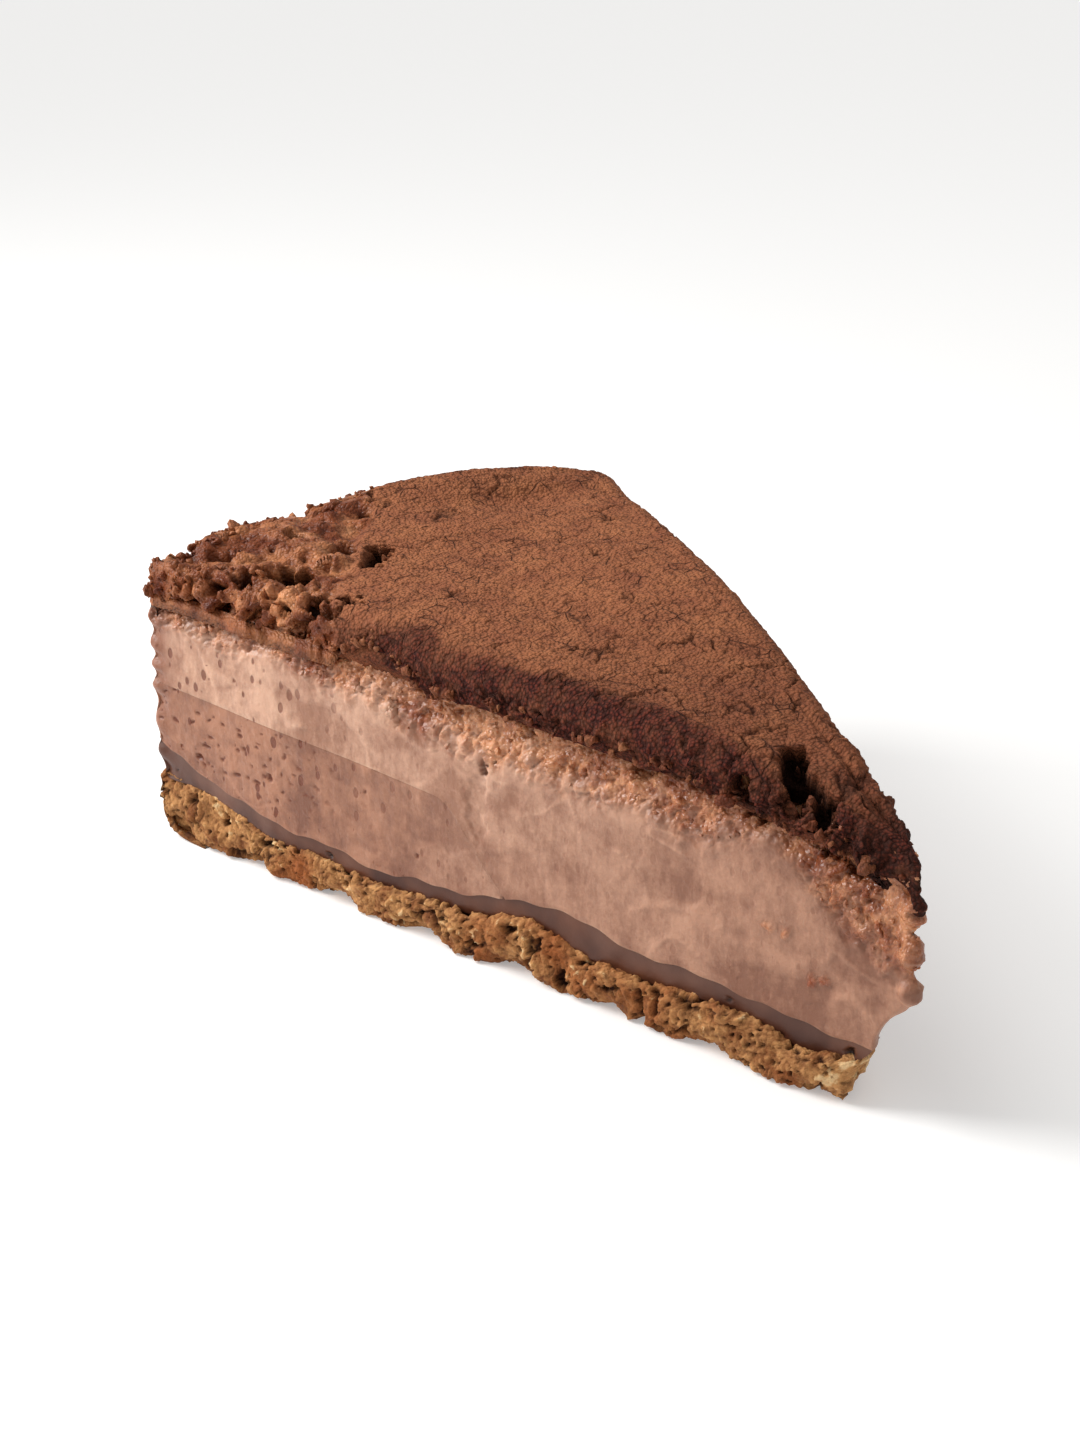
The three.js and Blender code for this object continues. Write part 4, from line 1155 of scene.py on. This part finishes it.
coordinates = add_node(tree, "ShaderNodeTexCoord").outputs["Object"]
burnt_and_shade, broken, hollow, tint = (
    add_node(tree, "ShaderNodeAttribute", attribute_name=name).outputs["Fac"]
    for name in ("burnt_and_shade", "broken", "hollow", "tint")
)
warp, crack_patch = (
    add_node(tree, "ShaderNodeTexNoise", [("Vector", coordinates), ("Scale", 1 / (size * MM)), ("Detail", 3)])
    for size in (WARP_SIZE, CRACK_PATCH)
)
bend = add_node(tree, "ShaderNodeVectorMath", [
    (0, warp.outputs["Color"]), (1, (WARP_REACH * MM,) * 3),
], operation="MULTIPLY").outputs[0]
bent = add_node(tree, "ShaderNodeVectorMath", [(0, coordinates), (1, bend)], operation="ADD").outputs[0]
grains, clumps = (
    add_node(tree, "ShaderNodeTexVoronoi", [("Vector", bent), ("Scale", 1 / (size * MM))]).outputs["Distance"]
    for size in (GRAIN_SIZE, CLUMP_SIZE)
)
dust = add_node(tree, "ShaderNodeTexNoise", [
    ("Vector", coordinates), ("Scale", 1 / (DUST_SIZE * MM)), ("Detail", 7), ("Roughness", 0.68),
]).outputs[0]
dust_share = add_node(tree, "ShaderNodeMapRange", [
    ("Value", dust), ("From Min", 0.32), ("From Max", 0.68),
]).outputs[0]
cocoa = add_node(tree, "ShaderNodeMix", [
    (FACTOR, dust_share), (FIRST, linear("#884f35")), (SECOND, linear("#a66844")),
], data_type="RGBA").outputs[RESULT]
grain_share = add_node(tree, "ShaderNodeMapRange", [
    ("Value", grains), ("From Min", 0.15), ("From Max", 0.62),
]).outputs[0]
char = add_node(tree, "ShaderNodeMix", [
    (FACTOR, grain_share), (FIRST, linear("#662b1e")), (SECOND, linear("#31100a")),
], data_type="RGBA").outputs[RESULT]
baked = add_node(tree, "ShaderNodeMix", [
    (FACTOR, burnt_and_shade), (FIRST, cocoa), (SECOND, char),
], data_type="RGBA").outputs[RESULT]
dark_crumb = add_node(tree, "ShaderNodeMix", [
    (FACTOR, dust_share), (FIRST, linear("#4d1b0a")), (SECOND, linear("#94502c")),
], data_type="RGBA").outputs[RESULT]
pale_crumb = add_node(tree, "ShaderNodeMix", [
    (FACTOR, dust_share), (FIRST, linear("#a85e37")), (SECOND, linear("#dc9a6a")),
], data_type="RGBA").outputs[RESULT]
crumb_colour = add_node(tree, "ShaderNodeMix", [
    (FACTOR, tint), (FIRST, dark_crumb), (SECOND, pale_crumb),
], data_type="RGBA").outputs[RESULT]
opened = add_node(tree, "ShaderNodeMix", [
    (FACTOR, broken), (FIRST, baked), (SECOND, crumb_colour),
], data_type="RGBA").outputs[RESULT]
crack = add_node(tree, "ShaderNodeTexVoronoi", [
    ("Vector", bent), ("Scale", 1 / (CRACK_CELL * MM)),
], feature="DISTANCE_TO_EDGE").outputs["Distance"]
crack_line = add_node(tree, "ShaderNodeMapRange", [
    ("Value", crack), ("From Min", 0.0), ("From Max", 0.055), ("To Min", 1), ("To Max", 0),
]).outputs[0]
patch_share = add_node(tree, "ShaderNodeMapRange", [
    ("Value", crack_patch.outputs[0]), ("From Min", 0.5), ("From Max", 0.62), ("To Max", 0.75),
]).outputs[0]
whole = add_node(tree, "ShaderNodeMath", [(0, 1.0), (1, broken)], operation="SUBTRACT").outputs[0]
crack_share = crack_line
for share in (patch_share, whole):
    crack_share = add_node(tree, "ShaderNodeMath", [
        (0, crack_share), (1, share),
    ], operation="MULTIPLY").outputs[0]
# Painted shade: the crevices between grains and clumps and the hairline cracks go dark brown.
between = add_node(tree, "ShaderNodeMath", [(0, grains), (1, clumps)], operation="ADD").outputs[0]
crevice = add_node(tree, "ShaderNodeMapRange", [
    ("Value", between), ("From Min", 0.9), ("From Max", 1.5), ("To Max", 0.4),
]).outputs[0]
calm = add_node(tree, "ShaderNodeMapRange", [("Value", broken), ("To Min", 1.0), ("To Max", 0.6)]).outputs[0]
crevice = add_node(tree, "ShaderNodeMath", [(0, crevice), (1, calm)], operation="MULTIPLY").outputs[0]
crevice = add_node(tree, "ShaderNodeMath", [(0, crevice), (1, crack_share)], operation="MAXIMUM").outputs[0]
cracked = add_node(tree, "ShaderNodeMix", [
    (FACTOR, crevice), (FIRST, opened), (SECOND, linear("#3d1c10")),
], data_type="RGBA").outputs[RESULT]
shaded = add_node(tree, "ShaderNodeMix", [
    (FACTOR, hollow), (FIRST, cracked), (SECOND, linear("#2c140a")),
], data_type="RGBA").outputs[RESULT]
tree.links.new(shaded, shader.inputs["Base Color"])
gloss = add_node(tree, "ShaderNodeMapRange", [
    ("Value", broken), ("To Min", 0.85), ("To Max", 0.36),
]).outputs[0]
tree.links.new(gloss, shader.inputs["Roughness"])
fine_domes = add_node(tree, "ShaderNodeMath", [(0, grains), (1, 2.0)], operation="POWER").outputs[0]
wide_domes = add_node(tree, "ShaderNodeMath", [(0, clumps), (1, 2.0)], operation="POWER").outputs[0]
domes = add_node(tree, "ShaderNodeMath", [(0, wide_domes), (1, fine_domes)], operation="ADD").outputs[0]
crack_depth = add_node(tree, "ShaderNodeMath", [(0, crack_share), (1, 1.5)], operation="MULTIPLY").outputs[0]
domes = add_node(tree, "ShaderNodeMath", [(0, domes), (1, calm)], operation="MULTIPLY").outputs[0]
height = add_node(tree, "ShaderNodeMath", [(0, dust), (1, domes)], operation="SUBTRACT").outputs[0]
height = add_node(tree, "ShaderNodeMath", [(0, height), (1, crack_depth)], operation="SUBTRACT").outputs[0]
bump = add_node(tree, "ShaderNodeBump", [("Height", height), ("Strength", 1.0), ("Distance", 0.26 * MM)])
tree.links.new(bump.outputs[0], shader.inputs["Normal"])


def skin_relief(points):
    """Millimetres in or out of the baked skin: fine grain, and fissures between warped cells that open
    only in patches, mostly towards the point. Also returns how much painted shade darkens each point
    in a fissure."""
    distance = distance_from_centre(points)
    gap, second, _ = cells(points + 0.9 * bends(points, 2.4, 92), FISSURE_CELL, 95)
    line = 1 - smooth(second - gap, 0, 0.075)
    opened = smooth(grain(points, 4.5, 96) + 0.4 * (1 - smooth(distance, 20, 62)), 0.3, 0.5)
    fissure = line * opened
    push = 0.1 * crumble(points, SKIN_GRAIN, 90) + 0.08 * lumps(points, 2.6, 91) - FISSURE_DEPTH * fissure
    return push, 0.75 * fissure


def scorch_and_shade(points):
    """How much the skin is charred, from 0 to 1: a band along the front edge that fades inwards and towards
    the rim, a light darkening towards the point that is partly browner crust and partly painted shade for
    the light falling off there, the rim's edge, and the point itself."""
    distance = distance_from_centre(points)
    front_gap = distance * (HALF_ANGLE - angle_from_middle(points))
    wavy = front_gap + 0.9 * lumps(points, 4, 97) + 0.7 * grain(points, 1.3, 98)
    width = 1.2 + 1.8 * bell(distance, 40, 20)
    band = 1 - smooth(wavy, width - 1.6, width + 1.2)
    band = band * (1 - smooth(distance + 5 * lumps(points, 5, 99), 62, 84))
    band = band * (0.92 + 0.25 * grain(points, 1.6, 102))
    # Partly browner crust and partly painted shade for the light falling off towards the point.
    band = np.maximum(band, 0.3 * (1 - smooth(distance, 22, 60)))
    rim_share = 0.85 * (1 - smooth(CAKE_RADIUS - distance + 1.3 * lumps(points, 3, 100), 0.8, 3))
    point_share = 0.98 * (1 - smooth(distance + 5 * lumps(points, 6, 96), 5, 16))
    patches = 0.6 * (1 - smooth(distance, 14, 24)) * smooth(lumps(points, 5, 97), -0.2, 0.6)
    return np.clip(np.maximum(np.maximum(band, rim_share), np.maximum(point_share, patches)), 0, 1)


def crag_tint(points):
    """How pale the broken crumb is, from 0 to 1: patches about 3 mm wide with finer ones in them."""
    inner = 0.34 - 0.16 * smooth(distance_from_centre(points), 82, 92)
    return np.clip(inner + 0.7 * lumps(points, 2.8, 98) + 0.5 * grain(points, 1.3, 99), 0, 1)


cut_count = point_counts(CRUST_STEP)[0]
rim_count = CRUST_COLUMNS - 1
outline = outlines([CROWN_HEIGHT], cut_count, rim_count)[0][0]
cut_points = 2 * cut_count + NOSE_POINTS
stations = (cut_points + 1) // 2
front = outline[:stations]
back = outline[cut_points - 1 - np.arange(stations)]
span = np.linspace(0, 1, CRUST_COLUMNS + 1)
angle = angle_from_middle(front)[:, None] * (1 - span) + angle_from_middle(back)[:, None] * span
plan = place(distance_from_centre(front)[:, None], angle)
sheet = with_height(plan, top_height(plan))
ring = np.concatenate([sheet[:, 0], sheet[:-1, -1][::-1], sheet[0, 1:-1][::-1]])
directions = miters(ring[:, :2])
rows = []
for inset, drop in BORDER_ROWS:
    row = ring.copy()
    row[:, :2] -= directions * inset_limit(distance_from_centre(ring), inset)[:, None]
    row[:, 2] -= drop
    rows.append(row)
points = np.concatenate([*rows, sheet[1:-1, 1:-1].reshape(-1, 3)])
skin, hidden = ring_faces(len(rows), cut_count, rim_count, top_grid=True)
border = len(BORDER_ROWS) * len(ring)
hidden_border = border - len(ring)
normals = skin_normals(points, skin)
normals[:hidden_border] = 0
normals[hidden_border:border] = (0, 0, 1)
distance = distance_from_centre(points)
crag = crag_share(points)
slim = smooth(distance, 1, 9)
crag_push, crag_dark = crag_relief(points)
skin_push, skin_dark = skin_relief(points)
at_point = 1 - smooth(distance, 14, 24)
edge_gap = np.min(edge_gaps(points), axis=0)
push = slim * (crag * crag_push + (1 - crag) * (skin_push + at_point * 0.6 * lumps(points, 3, 23)))
push = push * smooth(edge_gap, 0.6, 2.0) - slim * (0.9 + 2.2 * crag) * (1 - smooth(edge_gap, 1.6, 3.4))
points = points + normals * push[:, None]
shift, dark = broken_places(points, normals)
shift[:hidden_border] = 0
points = points + shift
# Painted shade in holes, grooves, creases and fissures, weaker on the border rows.
hollow = np.maximum(dark, np.maximum(crag * crag_dark, (1 - crag) * skin_dark))
hollow[:border] *= 0.25
crust = make_piece(
    "cocoa_crust", points, skin + hidden,
    {"burnt_and_shade": scorch_and_shade(points), "broken": crag, "hollow": hollow, "tint": crag_tint(points)}, crust_material,
)
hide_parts("light_mousse")

# The crust's edge: the same baked skin rolled over the edges of the slice. It starts inside the roll, goes
# over it and a little way down the cut, ends ragged, and turns in over the torn mousse.
EDGE_STEP = 0.2
TURN_ROWS = 30
SKIN_ROWS = 22
SKIN_OVERHANG = 0.9
RIM_SKIN = 5.5
TURNED_IN = 3.2
RIM_SKIN_DIVE = 1.5

cut_count, rim_count = point_counts(EDGE_STEP)
outer = outlines([CROWN_HEIGHT], cut_count, rim_count)[0][0]
cut_points = 2 * cut_count + NOSE_POINTS
turn_shares = 1 - np.cos(np.linspace(np.pi / 2, 0, TURN_ROWS))
roll = rolled_edge(outer, cut_count, turn_shares)
edge = roll[-1, :, 2]
on_cut = np.arange(len(outer)) < cut_points
ragged_end = np.minimum(skin_edge(with_height(outer, edge)), edge - 0.4)
low = np.where(on_cut, ragged_end - SKIN_OVERHANG, edge - RIM_SKIN)
middle = cut_count + NOSE_POINTS // 2
shares = np.linspace(0, 1, SKIN_ROWS + 1)[1:]
plan, _, outward = outlines(edge[middle] + (low[middle] - edge[middle]) * shares, cut_count, rim_count)
side = with_height(plan, edge + (low - edge) * shares[:, None])
last = side[-1].copy()
last[:, :2] -= outward[-1] * inset_limit(distance_from_centre(outer), TURNED_IN)[:, None]
under = roll[0] - (0, 0, RIM_SKIN)
grid = np.concatenate([roll, side, last[None], under[None]])
row_count, ring = grid.shape[:2]
row = np.arange(row_count)[:, None]
column = np.arange(ring)[None, :]
below = (row + 1) % row_count
beside = (column + 1) % ring
skin = np.stack([row * ring + column, below * ring + column, below * ring + beside, row * ring + beside], -1)
faces = skin.reshape(-1, 4).tolist()
points = grid.reshape(-1, 3)
normals = np.zeros_like(grid)
normals[:-2] = np.concatenate([rolled_directions(outer, turn_shares), with_height(outward, 0)])
normals = normals.reshape(-1, 3)
distance = distance_from_centre(points)
on_rim = smooth(distance, CAKE_RADIUS - 0.6, CAKE_RADIUS - 0.2) * smooth(-normals[:, 2], -0.9, -0.5)
gap_to_skin = points[:, 2] - skin_edge(points)
ended = (1 - smooth(gap_to_skin, -0.7, 0.15)) * (1 - on_rim)
ragged = (1 - smooth(gap_to_skin, 0.4, 3.2)) * (1 - on_rim)
knobs = crumble(points, 1.5, 120)
slim = smooth(distance, 1, 7)
skin_push, skin_dark = skin_relief(points)
crag = crag_share(points)
crag_push, crag_dark = crag_relief(points)
at_point = 1 - smooth(distance, 14, 24)
push = skin_push + 0.1 + at_point * (0.5 * lumps(points, 3, 23) + 0.3 * knobs) + ragged * 0.4 * knobs
push = (1 - crag) * push + crag * crag_push
push += on_rim * mousse_face(points)
rows_in = np.repeat(np.arange(row_count), ring)
push = (0.25 + 0.75 * slim) * push - slim * (0.6 + crag) * (1 - smooth(rows_in, 0, 8))
push -= ended * inset_limit(distance, SKIN_DIVE)
push -= RIM_SKIN_DIVE * on_rim * (1 - smooth(points[:, 2] + 0.5 * lumps(points, 4, 123), 27.2, 29.4))
points = points + normals * push[:, None]
shift, dark = broken_places(points, normals)
shift[-ring:] = 0
points = points + shift
# Painted shade: creases at the skin's ragged end, holes, grooves and fissures, and under the skin's end where
# it overhangs the torn mousse; it is also darker at the very point.
creases = ragged * np.clip(-0.9 * knobs - 0.15, 0, 1)
hollow = np.maximum(dark, np.maximum(crag * crag_dark, (1 - crag) * np.maximum(skin_dark, creases)))
hollow = np.maximum(hollow, (0.65 - 0.4 * crag) * (1 - smooth(gap_to_skin, -0.5, 0.3)) * (1 - on_rim))
hollow = np.maximum(hollow, 0.5 * (1 - smooth(distance + 2 * lumps(points, 4, 122), 4, 13)))
hollow = hollow * (1 - 0.75 * crag * (rows_in >= TURN_ROWS - 4))
crumbling = 0.65 * ragged * smooth(grain(points, 2.6, 121) + 0.3 * knobs - 0.3 * scorch_and_shade(points), 0.0, 0.4)
edge_burn_and_shade = np.maximum(scorch_and_shade(points), 0.35 * on_rim)
edge_broken = np.maximum(crumbling, crag)
edge_tint = crag_tint(points) * (0.5 + 0.5 * crag)
crust_edge = make_piece(
    "crust_edge", points, faces,
    {"burnt_and_shade": edge_burn_and_shade, "broken": edge_broken, "hollow": hollow, "tint": edge_tint}, crust_material,
)
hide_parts("light_mousse")

# Loose crumbs: bits of crust that broke off and stuck in the broken corner and along the skin's end, and
# bits of mousse in the torn part of the cut. Their sizes are the smallest and the largest radius.
CRUST_CRUMBS = 550
CRUST_CRUMB_SIZES = (0.2, 0.7)
MOUSSE_CRUMBS = 600
MOUSSE_CRUMB_SIZES = (0.15, 0.5)
crumb_shape = bmesh.new()
bmesh.ops.create_icosphere(crumb_shape, subdivisions=2, radius=1)
CRUMB_POINTS = np.array([vertex.co for vertex in crumb_shape.verts])
CRUMB_FACES = np.array([[vertex.index for vertex in face.verts] for face in crumb_shape.faces])
crumb_shape.free()


def scatter(chosen_points, chosen_normals, smallest, largest, seed):
    """Uneven crumbs: one ball of 80 faces on each chosen point, stretched along random axes, turned, and
    dented by lumps half its size. Returns the points, the faces and the crumb number of each point."""
    rng = np.random.default_rng(seed)
    count = len(chosen_points)
    radii = smallest + (largest - smallest) * rng.random(count) ** 3
    centres = chosen_points + chosen_normals * (0.2 * radii)[:, None]
    turns = np.linalg.qr(rng.normal(size=(count, 3, 3)))[0]
    turns *= np.sign(np.linalg.det(turns))[:, None, None]
    shape = CRUMB_POINTS[None] * rng.uniform(0.6, 1.3, (count, 1, 3))
    dents = 0.8 * lumps(shape + 11.7 * np.arange(count)[:, None, None], 0.7, seed)
    shape = np.einsum("cij,cpj->cpi", turns, shape * (1 + dents[..., None]))
    placed = centres[:, None] + radii[:, None, None] * shape
    faces = CRUMB_FACES[None] + (len(CRUMB_POINTS) * np.arange(count))[:, None, None]
    number = np.repeat(np.arange(count), len(CRUMB_POINTS))
    return placed.reshape(-1, 3), faces.reshape(-1, 3).tolist(), number


def pick(weights, count, seed):
    """Draws point numbers with the given weights, without drawing one twice."""
    rng = np.random.default_rng(seed)
    return rng.choice(len(weights), count, replace=False, p=weights / weights.sum())


facing_up = smooth(normals[:, 2], -0.2, 0.5)
near_end = bell(gap_to_skin, 0.5, 0.8) * (1 - on_rim)
chosen = pick(0.4 * crag * facing_up + 0.4 * near_end + TINY, CRUST_CRUMBS, 101)
crumb_points, crumb_faces, number = scatter(points[chosen], normals[chosen], *CRUST_CRUMB_SIZES, 103)
crust_crumbs = make_piece(
    "crust_crumbs", crumb_points, crumb_faces,
    {"burnt_and_shade": edge_burn_and_shade[chosen][number], "broken": np.maximum(edge_broken[chosen], 0.55)[number],
     "hollow": 0.25 * hollow[chosen][number], "tint": 0.8 * crag_tint(points[chosen])[number]},
    crust_material,
)
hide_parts("light_mousse")

chosen = pick(light_torn * (1 - light_attributes["hollow"]) + TINY, MOUSSE_CRUMBS, 104)
crumb_points, crumb_faces, number = scatter(
    light_points[chosen], light_normals[chosen], *MOUSSE_CRUMB_SIZES, 105
)
mousse_crumbs = make_piece(
    "mousse_crumbs", crumb_points, crumb_faces,
    {key: values[chosen][number] for key, values in light_attributes.items()}, mousse_material,
)
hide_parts("light_mousse")

# The floor: a plain pale sheet under the slice, with no edge in view.
FLOOR_HALF = 20.0
floor_mesh = bpy.data.meshes.new("floor")
floor_corners = [(x * FLOOR_HALF, y * FLOOR_HALF, 0) for x, y in ((-1, -1), (1, -1), (1, 1), (-1, 1))]
floor_mesh.from_pydata(floor_corners, [], [(0, 1, 2, 3)])
floor = bpy.data.objects.new("floor", floor_mesh)
bpy.context.scene.collection.objects.link(floor)
floor_material, tree, shader = new_material("pale_floor", [
    ("Roughness", 0.8), ("Base Color", linear("#e4e3e1")), ("Emission Color", linear("#ffffff")),
    ("Emission Strength", 0.3),
])
floor_mesh.materials.append(floor_material)

# Studio light: a soft lamp close to the rim end on the left, a weak broad light from the same side, and
# pale light from all round. The lamp's place, aim and width are in metres, and its power in watts.
KEY_PLACE = (-0.19, -0.20, 0.20)
KEY_AIM = (-0.01, -0.01, 0.02)
KEY_WIDTH = 0.16
KEY_WATTS = 1.0
BROAD_FROM = (-0.4, -0.3, 0.8)
BROAD_STRENGTH = 0.8
BROAD_ANGLE = 0.6
SKY_STRENGTH = 0.5


def soft_lamp(name, position, aim, size, watts):
    """A square area lamp at a position in metres, turned towards its aim."""
    lamp = bpy.data.lights.new(name, "AREA")
    lamp.size = size
    lamp.energy = watts
    made = bpy.data.objects.new(name, lamp)
    made.location = position
    made.rotation_euler = (Vector(position) - Vector(aim)).to_track_quat("Z", "Y").to_euler()
    made.visible_camera = False
    bpy.context.scene.collection.objects.link(made)


soft_lamp("key_lamp", KEY_PLACE, KEY_AIM, KEY_WIDTH, KEY_WATTS)
sun = bpy.data.lights.new("broad_light", "SUN")
sun.energy = BROAD_STRENGTH
sun.angle = BROAD_ANGLE
sun_object = bpy.data.objects.new("broad_light", sun)
sun_object.rotation_euler = Vector(BROAD_FROM).to_track_quat("Z", "Y").to_euler()
bpy.context.scene.collection.objects.link(sun_object)
world = bpy.data.worlds.new("studio")
world.use_nodes = True
world.node_tree.nodes["Background"].inputs["Color"].default_value = linear("#ffffff")
world.node_tree.nodes["Background"].inputs["Strength"].default_value = SKY_STRENGTH
bpy.context.scene.world = world
bpy.context.scene.view_settings.view_transform = "Standard"
